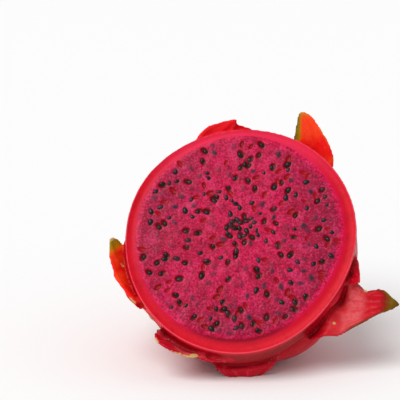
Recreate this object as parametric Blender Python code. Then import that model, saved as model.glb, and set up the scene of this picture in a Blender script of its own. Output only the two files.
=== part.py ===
"""The stem half of a red dragon fruit, cut across and lying on its skin, cut face turned up to the front.

Metres, +Z up. The origin is the middle of the small flat spot that the half lies on, and the cut face
looks towards -Y and up. Shapes are described in the fruit's own frame, whose origin is the middle of the cut
face: its X runs right along the face, its Y up along the face and its Z out of the face.
"""

import math
import random
from collections import namedtuple

import bmesh
import bpy
from mathutils import Matrix, Vector

# The fruit
SKIN_RADIUS = 0.0455
STEM_DEPTH = 0.066
WIDEST_DEPTH = 0.008
FRONT_LENGTH = 0.075
FACE_TILT = math.radians(31.0)
FLAT_SPOT_DEPTH = 0.0010
# Order, height as a share of the radius, and direction of the peak, of each soft lobe in the round section
SKIN_LOBES = ((2, 0.0288, 41.0), (3, 0.0135, 29.0), (5, 0.0035, 72.0))

# The peel's wall, and the flesh that fills it
WALL_MEAN = 0.0047
WALL_VARIATION = 0.0008
WALL_THICKEST = math.radians(-30.0)
WALL_THINNING = 0.0021
WALL_THINNEST = math.radians(92.0)
WALL_THIN_SPREAD = math.radians(28.0)
WALL_AT_STEM = 0.0085
FLESH_GAP = 0.0003

# The seeds in the cut face of the flesh
SEED_LENGTH = 0.0025
SEED_WIDTH = 0.0017
SEED_HEIGHT = 0.0013
SEED_SINK = 0.00022
SEED_TAPER = 0.25
SEED_SPACING = 0.0034
SEED_CORE_SPACING = 0.0021
SEED_CORE_SHARE = 0.14
SEED_CORE_RADIUS = 0.0075
SEED_CORE_MIDDLE = (-0.001, 0.004)
SEED_MARGIN = 0.0030
SEED_COUNT = 150
SEED_TRIES = 6000

# The dry stub of the stem, which stands in a shallow socket of the peel
STUB_RADIUS = 0.0046
STUB_TIP_RADIUS = 0.0036
STUB_LENGTH = 0.0100
SOCKET_DEPTH = 0.0030
SOCKET_GAP = 0.0003

# The leafy scales that grow from the skin
ROOT_SINK = 0.0026
ROOT_DROP = 0.0040
ROOT_THICKNESS = 0.0036
TIP_THICKNESS = 0.0010
SWELL_BACK = 0.017
SWELL_FRONT = 0.0075
SWELL_LEAD = 0.0065
STATIONS = 48
# Shares of a scale's length between which it bends, curls and turns, and its margins roll in
FLARE_SPAN = (0.12, 0.62)
CURL_SPAN = (0.55, 1.0)
LEAN_SPAN = (0.10, 0.55)
HOOK_SPAN = (0.60, 1.0)
CUP_SPAN = (0.3, 0.7)
ROOT_DROP_SPAN = (0.05, 0.45)
# Shares of a scale's length over which its buried end and its tip round off
ROOT_ROUNDING = (-0.02, 0.04)
TIP_ROUNDING = (0.94, 1.04)
SHOULDER_SPAN = (-0.35, 0.12)
RIPPLE_WAVES = 9.0
LEAST_GIRTH = 0.35

SKIN_SEGMENTS, SKIN_RINGS = 60, 32
INNER_SEGMENTS, INNER_RINGS = 40, 20
SCALE_SEGMENTS, SCALE_RINGS = 12, 13
SEED_SEGMENTS, SEED_RINGS = 5, 4
ROD_SEGMENTS = 20

# azimuth: direction of the root round the cut face, from the right, anticlockwise, degrees
# depth: of the root behind the cut face. length: along the blade. root_width, blade_width: half widths
# rise, flare, curl: the blade's slope off the skin at the root, what it gains by its middle and by its tip
# lean, hook: sideways turn by the middle, and what the tip adds, anticlockwise. swell: height of the skin's
# swelling under the root. cup: how far the margins roll in. ripple: wave of the margins
Scale = namedtuple(
    "Scale",
    "azimuth depth length root_width blade_width rise flare curl lean hook swell cup ripple",
)
FRONT_SCALES = (
    Scale(102, 0.0130, 0.0165, 0.0190, 0.0024, 16, 36, 0, -32, 0, 0.0010, 0.10, 0.0004),
    Scale(51, 0.0180, 0.0262, 0.0135, 0.0042, 16, 48, 0, 30, 0, 0.0010, 0.15, 0.0004),
    Scale(202, 0.0180, 0.0300, 0.0150, 0.0060, 10, 30, 0, -66, 0, 0.0015, 0.20, 0.0008),
    Scale(240, 0.0160, 0.0220, 0.0170, 0.0045, 12, 36, 0, -42, 0, 0.0024, 0.10, 0.0006),
    Scale(272, 0.0130, 0.0148, 0.0165, 0.0080, 32, 92, 50, 0, 0, 0.0020, 0.00, 0.0003),
    Scale(325, 0.0230, 0.0395, 0.0290, 0.0038, 12, 62, 0, 28, -32, 0.0048, 0.20, 0.0010),
    Scale(302, 0.0310, 0.0220, 0.0150, 0.0050, 10, 20, 0, 0, 0, 0.0030, 0.15, 0.0006),
)
MIDDLE_SCALES = (
    Scale(20, 0.0500, 0.0350, 0.0170, 0.0058, 12, -8, 6, 10, 0, 0.0022, 0.10, 0.0005),
    Scale(77, 0.0540, 0.0350, 0.0180, 0.0058, 12, 8, 22, -10, 0, 0.0026, 0.15, 0.0006),
    Scale(128, 0.0530, 0.0330, 0.0180, 0.0058, 12, 0, 18, 12, 0, 0.0026, 0.15, 0.0006),
    Scale(170, 0.0480, 0.0330, 0.0160, 0.0052, 12, -9, 6, -8, 0, 0.0022, 0.10, 0.0005),
    Scale(216, 0.0500, 0.0330, 0.0160, 0.0050, 12, -7, 4, 8, 0, 0.0018, 0.10, 0.0005),
    Scale(338, 0.0510, 0.0340, 0.0165, 0.0052, 12, -4, 14, 8, 0, 0.0022, 0.10, 0.0005),
)
STEM_SCALES = (
    Scale(48, 0.0630, 0.0210, 0.0105, 0.0046, 16, 20, 30, 10, 0, 0.0008, 0.20, 0.0003),
    Scale(104, 0.0630, 0.0220, 0.0105, 0.0046, 16, 18, 30, -12, 0, 0.0008, 0.20, 0.0003),
    Scale(158, 0.0625, 0.0210, 0.0105, 0.0044, 16, 16, 26, 8, 0, 0.0008, 0.20, 0.0003),
    Scale(212, 0.0625, 0.0190, 0.0095, 0.0042, 15, 12, 20, -6, 0, 0.0006, 0.20, 0.0003),
    Scale(318, 0.0625, 0.0190, 0.0095, 0.0042, 15, 12, 20, 6, 0, 0.0006, 0.20, 0.0003),
    Scale(358, 0.0625, 0.0200, 0.0100, 0.0044, 16, 16, 26, -8, 0, 0.0008, 0.20, 0.0003),
)
SCALES = FRONT_SCALES + MIDDLE_SCALES + STEM_SCALES


def smoothstep(value, start, end):
    """0 up to start, 1 from end, and a smooth rise between."""
    share = min(1.0, max(0.0, (value - start) / (end - start)))
    return share * share * (3.0 - 2.0 * share)


def section_radius(azimuth):
    """Radius of the skin's widest section in one direction, in radians."""
    lobes = sum(
        height * math.cos(order * (azimuth - math.radians(peak)))
        for order, height, peak in SKIN_LOBES
    )
    return SKIN_RADIUS * (1.0 + lobes)


def girth(depth, stem_depth=STEM_DEPTH):
    """Share of the widest radius that is left at a depth behind the cut face."""
    length = FRONT_LENGTH if depth < WIDEST_DEPTH else stem_depth - WIDEST_DEPTH
    share = (depth - WIDEST_DEPTH) / length
    return math.sqrt(max(0.0, 1.0 - share * share))


def plain_skin(azimuth, depth):
    """Point of the skin without its swellings, in the fruit's frame."""
    radius = section_radius(azimuth) * girth(depth)
    return Vector((radius * math.cos(azimuth), radius * math.sin(azimuth), -depth))


def skin_normal(azimuth, depth):
    """Outward direction of the plain skin."""
    step = 0.0005
    deeper = min(depth + step, STEM_DEPTH - step)
    along = plain_skin(azimuth, deeper - 2 * step) - plain_skin(azimuth, deeper)
    around = plain_skin(azimuth + 0.01, depth) - plain_skin(azimuth - 0.01, depth)
    return around.cross(along).normalized()


def swelling(azimuth, depth):
    """How far the skin swells up behind the roots of the scales."""
    height = 0.0
    for scale in SCALES:
        turn = math.remainder(azimuth - math.radians(scale.azimuth), math.tau)
        side = turn * SKIN_RADIUS * girth(scale.depth) / scale.root_width
        back = depth - scale.depth + SWELL_LEAD
        reach = SWELL_BACK if back > 0 else SWELL_FRONT
        height += scale.swell * math.exp(-side * side - (back / reach) ** 2)
    return height


def on_sphere(direction):
    """Latitude and azimuth of a point of the unit sphere."""
    latitude = math.asin(max(-1.0, min(1.0, direction.z)))
    return latitude, math.atan2(direction.y, direction.x)


def depth_of(latitude, stem_depth):
    """Depth in the fruit of a latitude of the sphere that it is shaped from."""
    length = FRONT_LENGTH if latitude > 0 else stem_depth - WIDEST_DEPTH
    return WIDEST_DEPTH - length * math.sin(latitude)


def skin_place(direction):
    """Point of the swollen skin that a point of the unit sphere becomes."""
    latitude, azimuth = on_sphere(direction)
    depth = depth_of(latitude, STEM_DEPTH)
    radius = section_radius(azimuth) * math.cos(latitude)
    swollen = radius + swelling(azimuth, depth) * math.cos(latitude) ** 0.5
    return Vector((swollen * math.cos(azimuth), swollen * math.sin(azimuth), -depth))


def wall(azimuth):
    """Thickness of the peel in one direction."""
    off_thinnest = math.remainder(azimuth - WALL_THINNEST, math.tau) / WALL_THIN_SPREAD
    thinned = WALL_THINNING * math.exp(-off_thinnest * off_thinnest)
    return WALL_MEAN + WALL_VARIATION * math.cos(azimuth - WALL_THICKEST) - thinned


def inner_place(direction, gap=0.0):
    """Point of the peel's inner wall, or of the flesh a gap inside it."""
    latitude, azimuth = on_sphere(direction)
    depth = depth_of(latitude, STEM_DEPTH - WALL_AT_STEM - gap)
    radius = (section_radius(azimuth) - wall(azimuth) - gap) * math.cos(latitude)
    return Vector((radius * math.cos(azimuth), radius * math.sin(azimuth), -depth))


def flesh_place(direction):
    """Point of the flesh's outside."""
    return inner_place(direction, FLESH_GAP)


def blade_line(scale):
    """Slope and sideways turn of a scale's middle line, and the place it has reached, at each station."""
    stations = []
    side = forward = 0.0
    height = -ROOT_SINK
    step = scale.length / STATIONS
    for index in range(STATIONS + 1):
        along = index / STATIONS
        flare = scale.flare * smoothstep(along, *FLARE_SPAN)
        curl = scale.curl * smoothstep(along, *CURL_SPAN)
        slope = math.radians(scale.rise + flare + curl)
        lean = scale.lean * smoothstep(along, *LEAN_SPAN)
        turn = math.radians(lean + scale.hook * smoothstep(along, *HOOK_SPAN))
        stations.append((slope, turn, side, forward, height))
        side += step * math.sin(turn)
        forward += step * math.cos(turn) * math.cos(slope)
        height += step * math.cos(turn) * math.sin(slope)
    return stations


def half_width(scale, along):
    """Half the width of a scale: a broad root that narrows to a leaf-shaped blade."""
    root = scale.root_width * (1.0 - along) ** 2
    blade = scale.blade_width * (4.0 * along * (1.0 - along)) ** 0.75
    return (root + blade) * smoothstep(along, *SHOULDER_SPAN)


def thickness(along):
    """Thickness of a scale, which thins towards its tip and rounds off at both ends."""
    full = TIP_THICKNESS + (ROOT_THICKNESS - TIP_THICKNESS) * (1.0 - along) ** 1.5
    return full * smoothstep(along, *ROOT_ROUNDING) * (1.0 - smoothstep(along, *TIP_ROUNDING))


def roll(scale, along, across):
    """How far a point across a scale lies off its flat: margins rolled in and waved, root wrapped round."""
    cupped = scale.cup * half_width(scale, along) * across * across * smoothstep(along, *CUP_SPAN)
    wrapped = ROOT_DROP * across * across * (1.0 - smoothstep(along, *ROOT_DROP_SPAN))
    waved = scale.ripple * abs(across) ** 3 * math.sin(RIPPLE_WAVES * along + 2.0 * across)
    return waved - cupped - wrapped


def scale_place(scale, stations, direction):
    """Point of a scale's blade that a point of the unit sphere becomes: its poles are root and tip."""
    latitude, around = on_sphere(direction)
    along = 0.5 + latitude / math.pi
    slope, turn, side, forward, height = stations[round(along * STATIONS)]
    across, face = math.cos(around), math.sin(around)
    reach = half_width(scale, along) * across
    lifted = roll(scale, along, across) + 0.5 * thickness(along) * math.copysign(abs(face) ** 0.6, face)
    x = side + reach * math.cos(turn)
    y = forward - reach * math.sin(turn) * math.cos(slope) - lifted * math.sin(slope)
    z = height - reach * math.sin(turn) * math.sin(slope) + lifted * math.cos(slope)
    azimuth = math.radians(scale.azimuth) + x / (SKIN_RADIUS * max(LEAST_GIRTH, girth(scale.depth)))
    depth = scale.depth - y
    return plain_skin(azimuth, depth) + skin_normal(azimuth, depth) * z


def solid(name, shape):
    """An object from a finished bmesh."""
    mesh = bpy.data.meshes.new(name)
    shape.to_mesh(mesh)
    shape.free()
    return bpy.data.objects.new(name, mesh)


def shaped_sphere(name, segments, rings, place):
    """A closed solid: a sphere with each of its points moved to the place that the formula gives."""
    shape = bmesh.new()
    bmesh.ops.create_uvsphere(shape, u_segments=segments, v_segments=rings, radius=1.0)
    for vertex in shape.verts:
        vertex.co = place(vertex.co.normalized())
    bmesh.ops.recalc_face_normals(shape, faces=shape.faces)
    return solid(name, shape)


def block(name, size, middle):
    """A plain block of a size, round its middle."""
    shape = bmesh.new()
    bmesh.ops.create_cube(shape, size=size)
    bmesh.ops.translate(shape, vec=middle, verts=shape.verts)
    return solid(name, shape)


def rod(name, start_depth, end_depth, start_radius, end_radius):
    """A tapered rod along the fruit's axis, between two depths behind the cut face."""
    shape = bmesh.new()
    bmesh.ops.create_cone(
        shape,
        cap_ends=True,
        segments=ROD_SEGMENTS,
        radius1=end_radius,
        radius2=start_radius,
        depth=end_depth - start_depth,
    )
    bmesh.ops.translate(shape, vec=(0, 0, -(start_depth + end_depth) / 2), verts=shape.verts)
    return solid(name, shape)


def material(name, color, roughness):
    """A plain finish."""
    made = bpy.data.materials.new(name)
    made.use_nodes = True
    shader = made.node_tree.nodes["Principled BSDF"]
    shader.inputs["Base Color"].default_value = (*color, 1.0)
    shader.inputs["Roughness"].default_value = roughness
    shader.inputs["Metallic"].default_value = 0.0
    return made


def cut(target, cutter):
    """Cuts a solid from the target."""
    modifier = target.modifiers.new("cut_" + cutter.name, "BOOLEAN")
    modifier.operation = "DIFFERENCE"
    modifier.solver = "EXACT"
    modifier.object = cutter


def fuse(target, pieces):
    """Joins a collection's solids to the target for good, and removes them."""
    modifier = target.modifiers.new("fuse_" + pieces.name, "BOOLEAN")
    modifier.operation = "UNION"
    modifier.solver = "EXACT"
    modifier.operand_type = "COLLECTION"
    modifier.collection = pieces
    bpy.context.view_layer.update()
    evaluated = target.evaluated_get(bpy.context.evaluated_depsgraph_get())
    fused = bpy.data.meshes.new_from_object(evaluated)
    target.modifiers.clear()
    target.data = fused
    for piece in list(pieces.objects):
        bpy.data.objects.remove(piece)
    bpy.data.collections.remove(pieces)


def new_collection(name):
    """A collection in the scene."""
    made = bpy.data.collections.new(name)
    bpy.context.scene.collection.children.link(made)
    return made


def add(obj, collection, axis, finish=None):
    """Puts an object in a collection, on the fruit's axis, with its finish. One with none is a cutter."""
    collection.objects.link(obj)
    obj.parent = axis
    if finish:
        obj.data.materials.append(finish)
    else:
        obj.hide_render = True
        obj.display_type = "WIRE"
    return obj


def seed_spots():
    """Middle, direction and size of each seed in the cut face: close round the middle, loose outside it."""
    draw = random.Random(11)
    spots = []
    for _ in range(SEED_TRIES):
        if len(spots) == SEED_COUNT:
            break
        azimuth = draw.uniform(0.0, math.tau)
        room = section_radius(azimuth) - wall(azimuth) - SEED_MARGIN
        heart = draw.random() < SEED_CORE_SHARE
        distance = (SEED_CORE_RADIUS if heart else room) * math.sqrt(draw.random())
        spacing = SEED_CORE_SPACING if heart else SEED_SPACING
        middle = Vector((distance * math.cos(azimuth), distance * math.sin(azimuth), 0.0))
        if heart:
            middle += Vector((*SEED_CORE_MIDDLE, 0.0))
        heading = azimuth + draw.gauss(0.0, 0.8)
        size = draw.uniform(0.85, 1.1)
        if all((middle - other).length > spacing for other, _, _ in spots):
            spots.append((middle, heading, size))
    return spots


def add_scales(collection, axis, finish):
    """Every leafy scale, as a solid of its own."""
    for number, scale in enumerate(SCALES, 1):
        stations = blade_line(scale)

        def place(direction, scale=scale, stations=stations):
            return scale_place(scale, stations, direction)

        blade = shaped_sphere(f"scale_{number:02d}", SCALE_SEGMENTS, SCALE_RINGS, place)
        add(blade, collection, axis, finish)


def add_seeds(collection, axis, finish):
    """Every seed of the cut face, as a solid of its own, sunk to just under its middle."""
    for number, (middle, heading, size) in enumerate(seed_spots(), 1):
        turned = Matrix.Translation(middle) @ Matrix.Rotation(heading, 4, "Z")

        def place(direction, turned=turned, size=size):
            taper = 1.0 - SEED_TAPER * direction.x
            x = direction.x * size * SEED_LENGTH / 2
            y = direction.y * taper * size * SEED_WIDTH / 2
            z = direction.z * size * SEED_HEIGHT / 2 - SEED_SINK
            return turned @ Vector((x, y, z))

        add(shaped_sphere(f"seed_{number:03d}", SEED_SEGMENTS, SEED_RINGS, place), collection, axis, finish)


def resting_place():
    """Turns the fruit so that the cut face looks up and to the front, and sets it down on its flat spot."""
    turned = Matrix.Rotation(math.radians(90.0) - FACE_TILT, 4, "X")
    lowest = Vector((0.0, 0.0, math.inf))
    for azimuth in (math.radians(step) for step in range(240, 301)):
        for latitude in (math.radians(step) for step in range(-80, 1)):
            level = math.cos(latitude)
            direction = Vector((math.cos(azimuth) * level, math.sin(azimuth) * level, math.sin(latitude)))
            point = turned @ skin_place(direction)
            if point.z < lowest.z:
                lowest = point
    down = Vector((-lowest.x, -lowest.y, -FLAT_SPOT_DEPTH - lowest.z))
    return Matrix.Translation(down) @ turned


def clear_scene():
    """Removes what the file held."""
    for old in list(bpy.data.objects):
        bpy.data.objects.remove(old)


def build_peel(fruit, cutters, axis):
    """The rind with its scales: cut across, hollowed for the flesh, socketed for the stub, flat below."""
    red = material("peel_red", (0.70, 0.05, 0.10), 0.42)
    reach = 8 * SKIN_RADIUS
    socket_radius = STUB_RADIUS + SOCKET_GAP
    socket_start = STEM_DEPTH - SOCKET_DEPTH - SOCKET_GAP
    knife = block("knife", reach, (0, 0, reach / 2))
    hollow = shaped_sphere("hollow", INNER_SEGMENTS, INNER_RINGS, inner_place)
    socket = rod("socket", socket_start, STEM_DEPTH + STUB_LENGTH, socket_radius, socket_radius)
    table = block("table", reach, (0, 0, -reach / 2))
    scales = new_collection("scales")
    add_scales(scales, axis, red)
    peel = add(shaped_sphere("peel", SKIN_SEGMENTS, SKIN_RINGS, skin_place), fruit, axis, red)
    fuse(peel, scales)
    for cutter in (hollow, knife, socket):
        cut(peel, add(cutter, cutters, axis))
    cut(peel, add(table, cutters, None))
    return peel


def build_flesh(fruit, cutters, axis):
    """The pulp that fills the peel, with its cut face and the seeds that lie in it."""
    magenta = material("flesh_magenta", (0.52, 0.03, 0.14), 0.35)
    black = material("seed_black", (0.02, 0.02, 0.02), 0.30)
    seeds = new_collection("seeds")
    add_seeds(seeds, axis, black)
    flesh = add(shaped_sphere("flesh", INNER_SEGMENTS, INNER_RINGS, flesh_place), fruit, axis, magenta)
    cut(flesh, cutters.objects["knife"])
    fuse(flesh, seeds)
    return flesh


def build_stub(fruit, axis):
    """The dry stub of the stem in its socket."""
    straw = material("stub_straw", (0.42, 0.33, 0.19), 0.85)
    start = STEM_DEPTH - SOCKET_DEPTH
    stub = rod("stem_stub", start, start + STUB_LENGTH, STUB_RADIUS, STUB_TIP_RADIUS)
    return add(stub, fruit, axis, straw)


def build():
    """Makes the half fruit, lying on its flat spot."""
    clear_scene()
    fruit = new_collection("dragon_fruit_half")
    cutters = new_collection("cutters")
    axis = bpy.data.objects.new("fruit_axis", None)
    axis.matrix_world = resting_place()
    fruit.objects.link(axis)
    pieces = [build_peel(fruit, cutters, axis), build_flesh(fruit, cutters, axis), build_stub(fruit, axis)]
    for piece in pieces:
        piece.data.shade_smooth()
        piece.data.set_sharp_from_angle(angle=math.radians(40.0))


build()
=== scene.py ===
"""Dresses half of a red dragon fruit: it lies on its skin, with the cut face turned up to the front.

Shapes are made in the fruit's own frame, whose origin is the middle of the cut face: X runs right along the
face, Y up along the face and Z out of the face, so a depth behind the face is -Z. Each finished mesh is then
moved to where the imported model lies. Lengths are metres.
"""
import logging
import math
import random
from contextlib import contextmanager
from dataclasses import astuple, dataclass
from enum import Enum
from typing import Any, Iterator, Mapping, Sequence

import bmesh
import bpy
import numpy as np
from mathutils import Matrix, Vector, noise
from mathutils.kdtree import KDTree


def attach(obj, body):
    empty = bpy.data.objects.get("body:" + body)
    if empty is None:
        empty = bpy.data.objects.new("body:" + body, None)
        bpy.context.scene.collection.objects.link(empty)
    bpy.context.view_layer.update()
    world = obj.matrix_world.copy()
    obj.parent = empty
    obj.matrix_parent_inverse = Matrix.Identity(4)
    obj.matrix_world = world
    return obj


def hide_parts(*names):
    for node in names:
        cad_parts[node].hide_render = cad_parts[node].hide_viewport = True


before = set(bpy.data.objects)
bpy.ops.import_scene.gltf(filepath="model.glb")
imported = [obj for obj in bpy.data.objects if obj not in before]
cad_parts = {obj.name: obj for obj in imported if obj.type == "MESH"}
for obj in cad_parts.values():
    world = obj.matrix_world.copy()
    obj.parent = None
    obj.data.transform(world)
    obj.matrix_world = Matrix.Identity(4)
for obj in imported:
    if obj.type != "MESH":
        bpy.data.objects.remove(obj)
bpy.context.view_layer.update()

log = logging.getLogger("dragon_fruit_half")

Array = np.ndarray
Mesh = bpy.types.Mesh
Object = bpy.types.Object
Socket = bpy.types.NodeSocket
Colour = tuple[float, float, float]
Span = tuple[float, float]

BODY = "root"
# Least distance from the axis to divide by
LEAST_RADIUS = 1e-6


# Small helpers on numbers and meshes


def smoothstep(value: Any, start: float, end: float) -> Any:
    """0 up to start, 1 from end on and a smooth rise between, for a number or an array."""
    share = np.clip((value - start) / (end - start), 0.0, 1.0)
    return share * share * (3.0 - 2.0 * share)


def window(value: Any, rise: Span, fall: Span) -> Any:
    """A soft step up and then down, each from its start to its end."""
    return smoothstep(value, *rise) * (1.0 - smoothstep(value, *fall))


def bell(value: Any, middle: Any, spread: float, power: int = 2) -> Any:
    """A hill: 1 at its middle, about a third one spread away, flat-topped for a power above 2."""
    return np.exp(-(((value - middle) / spread) ** power))


def short_turn(angle: Any) -> Any:
    """The same angle, from half a turn back to half a turn on."""
    return angle - math.tau * np.round(angle / math.tau)


def directions(count: int) -> Array:
    """Even directions all the way round, in radians."""
    return np.linspace(0.0, math.tau, count, endpoint=False)


def polar(points: Array) -> tuple[Array, Array]:
    """The direction of each point round the axis, in radians, and its distance from the axis."""
    return np.arctan2(points[:, 1], points[:, 0]), np.hypot(points[:, 0], points[:, 1])


def about_axis(radius: Array, azimuth: Array, depth: Array) -> Array:
    """Points by their distance from the axis, their direction round it and their depth behind the face."""
    return np.stack([radius * np.cos(azimuth), radius * np.sin(azimuth), -depth], axis=-1)


def lowness(points: Array) -> Array:
    """How low each point is on the fruit as it lies: 1 straight below the axis, -1 straight above it."""
    return -points[:, 1] / np.maximum(polar(points)[1], LEAST_RADIUS)


def linear(red: int, green: int, blue: int) -> Colour:
    """A colour in linear light, by the sRGB curve, from the numbers a screen shows, 0 to 255."""
    shares = (channel / 255.0 for channel in (red, green, blue))
    return tuple(s / 12.92 if s <= 0.04045 else ((s + 0.055) / 1.055) ** 2.4 for s in shares)


def noise_field(points: Array, size: float, shift: float) -> Array:
    """Smooth noise from about -1 to 1 at each point, with hills of about a size, moved by shift."""
    scaled = points / size + shift
    return np.array([noise.noise(Vector(row)) for row in scaled])


@contextmanager
def edited(mesh: Mesh) -> Iterator[bmesh.types.BMesh]:
    """Opens a mesh for changes and writes them back at the end.

    Args:
        mesh: the mesh to change.

    Yields:
        Its vertices, edges and faces.
    """
    shape = bmesh.new()
    shape.from_mesh(mesh)
    yield shape
    shape.to_mesh(mesh)
    shape.free()


def mesh_from(name: str, points: Array, faces: Sequence[Sequence[int]]) -> Mesh:
    """A mesh whose faces point outwards.

    Args:
        name: the mesh's name.
        points: its vertices.
        faces: the vertices of each face.

    Returns:
        The new mesh.
    """
    mesh = bpy.data.meshes.new(name)
    mesh.from_pydata([tuple(point) for point in points], [], faces)
    with edited(mesh) as shape:
        bmesh.ops.recalc_face_normals(shape, faces=shape.faces)
    return mesh


def closed_grid(name: str, rings: Array, start: Array, end: Array) -> Mesh:
    """A closed skin over rings of points, with a fan of triangles at either end.

    Args:
        name: the mesh's name.
        rings: the points, as ring, place in the ring, coordinate.
        start: the point that closes the first ring.
        end: the point that closes the last ring.

    Returns:
        The new mesh.
    """
    count, around = rings.shape[:2]
    points = np.vstack([rings.reshape(-1, 3), start, end])
    first, last = count * around, count * around + 1
    faces = []
    for ring in range(count - 1):
        for step in range(around):
            a = ring * around + step
            b = ring * around + (step + 1) % around
            faces.append((a, b, b + around, a + around))
    for step in range(around):
        beside = (step + 1) % around
        faces.append((first, beside, step))
        faces.append((last, (count - 1) * around + step, (count - 1) * around + beside))
    return mesh_from(name, points, faces)


def rows_of(items: Any, field: str, width: int, kind: type) -> Array:
    """Reads a field of every vertex or edge.

    Args:
        items: the vertices, their normals or the edges of a mesh.
        field: the field's name.
        width: how many numbers it holds.
        kind: their type.

    Returns:
        The numbers, one row for each item.
    """
    values = np.empty(len(items) * width, kind)
    items.foreach_get(field, values)
    return values.reshape(-1, width)


def vertex_places(mesh: Mesh) -> Array:
    """The vertices of a mesh, one a row."""
    return rows_of(mesh.vertices, "co", 3, np.float32).astype(float)


def vertex_directions(mesh: Mesh) -> Array:
    """The outward direction at each vertex of a mesh, one a row."""
    return rows_of(mesh.vertex_normals, "vector", 3, np.float32).astype(float)


def edge_ends(mesh: Mesh) -> Array:
    """The two vertices of each edge of a mesh, one edge a row."""
    return rows_of(mesh.edges, "vertices", 2, np.int32)


def set_places(mesh: Mesh, places: Array) -> None:
    """Moves the vertices of a mesh to new places, one a row."""
    mesh.vertices.foreach_set("co", places.astype(np.float32).ravel())
    mesh.update()


def neighbour_mean(values: Array, ends: Array) -> Array:
    """Averages each vertex's neighbours.

    Args:
        values: a number, or a row of numbers, for each vertex.
        ends: the two vertices of each edge.

    Returns:
        The mean over the neighbours of each vertex, in the shape of values.
    """
    flat = values.reshape(len(values), -1)
    degree = np.maximum(np.bincount(ends.ravel(), minlength=len(values)), 1)
    mean = np.empty_like(flat)
    for column in range(flat.shape[1]):
        one_way = np.bincount(ends[:, 0], flat[ends[:, 1], column], len(values))
        other_way = np.bincount(ends[:, 1], flat[ends[:, 0], column], len(values))
        mean[:, column] = (one_way + other_way) / degree
    return mean.reshape(values.shape)


def relaxed(values: Array, ends: Array, rounds: int, push: float = 0.5, pull: float = 0.0) -> Array:
    """Smooths values over a mesh.

    Args:
        values: a number, or a row of numbers, for each vertex.
        ends: the two vertices of each edge.
        rounds: how many times to smooth.
        push: share of the way to the neighbours' mean in each round.
        pull: share of the way back after it, which keeps a shape from shrinking.

    Returns:
        The smoothed values.
    """
    for _ in range(rounds):
        values = values + push * (neighbour_mean(values, ends) - values)
        if pull:
            values = values - pull * (neighbour_mean(values, ends) - values)
    return values


def store(mesh: Mesh, name: str, values: Array) -> None:
    """Keeps a number for each vertex under a name that a material can read."""
    attribute = mesh.attributes.new(name, "FLOAT", "POINT")
    attribute.data.foreach_set("value", values.astype(np.float32))


def evaluated_mesh(source: Object) -> Mesh:
    """Applies an object's modifiers.

    Args:
        source: the object, linked to the scene.

    Returns:
        A plain mesh of what its modifiers make.
    """
    bpy.context.view_layer.update()
    depsgraph = bpy.context.evaluated_depsgraph_get()
    return bpy.data.meshes.new_from_object(source.evaluated_get(depsgraph), depsgraph=depsgraph)


def without_specks(mesh: Mesh, least_edge: float) -> None:
    """Keeps the largest part of a mesh, without its slivers.

    Args:
        mesh: the mesh to clean.
        least_edge: the length under which an edge is closed up.
    """
    with edited(mesh) as shape:
        bmesh.ops.dissolve_degenerate(shape, dist=least_edge, edges=shape.edges)
        bmesh.ops.triangulate(shape, faces=shape.faces)
        left = set(shape.verts)
        parts = []
        while left:
            reached = [left.pop()]
            for vertex in reached:
                beside = {edge.other_vert(vertex) for edge in vertex.link_edges} & left
                left -= beside
                reached.extend(beside)
            parts.append(reached)
        parts.sort(key=len)
        specks = [vertex for part in parts[:-1] for vertex in part]
        bmesh.ops.delete(shape, geom=specks, context="VERTS")


def linked_object(name: str, data: bpy.types.ID) -> Object:
    """Puts a mesh, a lamp or a camera in the scene, at the origin.

    Args:
        name: the object's name.
        data: what it holds.

    Returns:
        The new object.
    """
    made = bpy.data.objects.new(name, data)
    bpy.context.scene.collection.objects.link(made)
    return made


# The form of the fruit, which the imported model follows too


@dataclass(frozen=True)
class Tone:
    """How far the colours of one scale go, each from 0 to 1, in the order in which the peel reads them."""

    green: float = 0.0
    green_from: float = 0.6
    # 1 for a yellow and grass green tip, 0 for a brown and olive one
    fresh: float = 0.0
    warm: float = 0.0
    dry: float = 0.3
    pale: float = 0.0
    # Painted shade: how far the scale is darkened as if it lay in shadow
    shade: float = 0.0
    # Share of the width that is green along one margin: above 0 the anticlockwise one, below 0 the other
    strip: float = 0.0


@dataclass(frozen=True)
class Scale:
    """One leafy scale: where its root sits and how its blade runs."""

    # Direction of the root round the cut face, from the right, anticlockwise, and its depth behind the face
    azimuth: float
    depth: float
    length: float
    # Half widths
    root_width: float
    blade_width: float
    # Slope off the skin at the root, and what it gains by the middle and by the tip
    rise: float
    flare: float
    curl: float
    # Sideways turn by the middle, and what the tip adds
    lean: float
    hook: float
    # Height of the skin's swelling under the root, roll of the margins and their wave
    swell: float
    cup: float
    ripple: float
    tone: Tone = Tone()
    # Height and number of the folds along the blade
    fold: float = 0.00025
    folds: float = 2.5
    # How fast the blade narrows to its tip, low for a blunt one, and the height of the pleats across its base
    taper: float = 0.75
    pleat: float = 0.0
    # Share of the half width by which the anticlockwise margin bulges near the tip, past a notch
    bulge: float = 0.0


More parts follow.
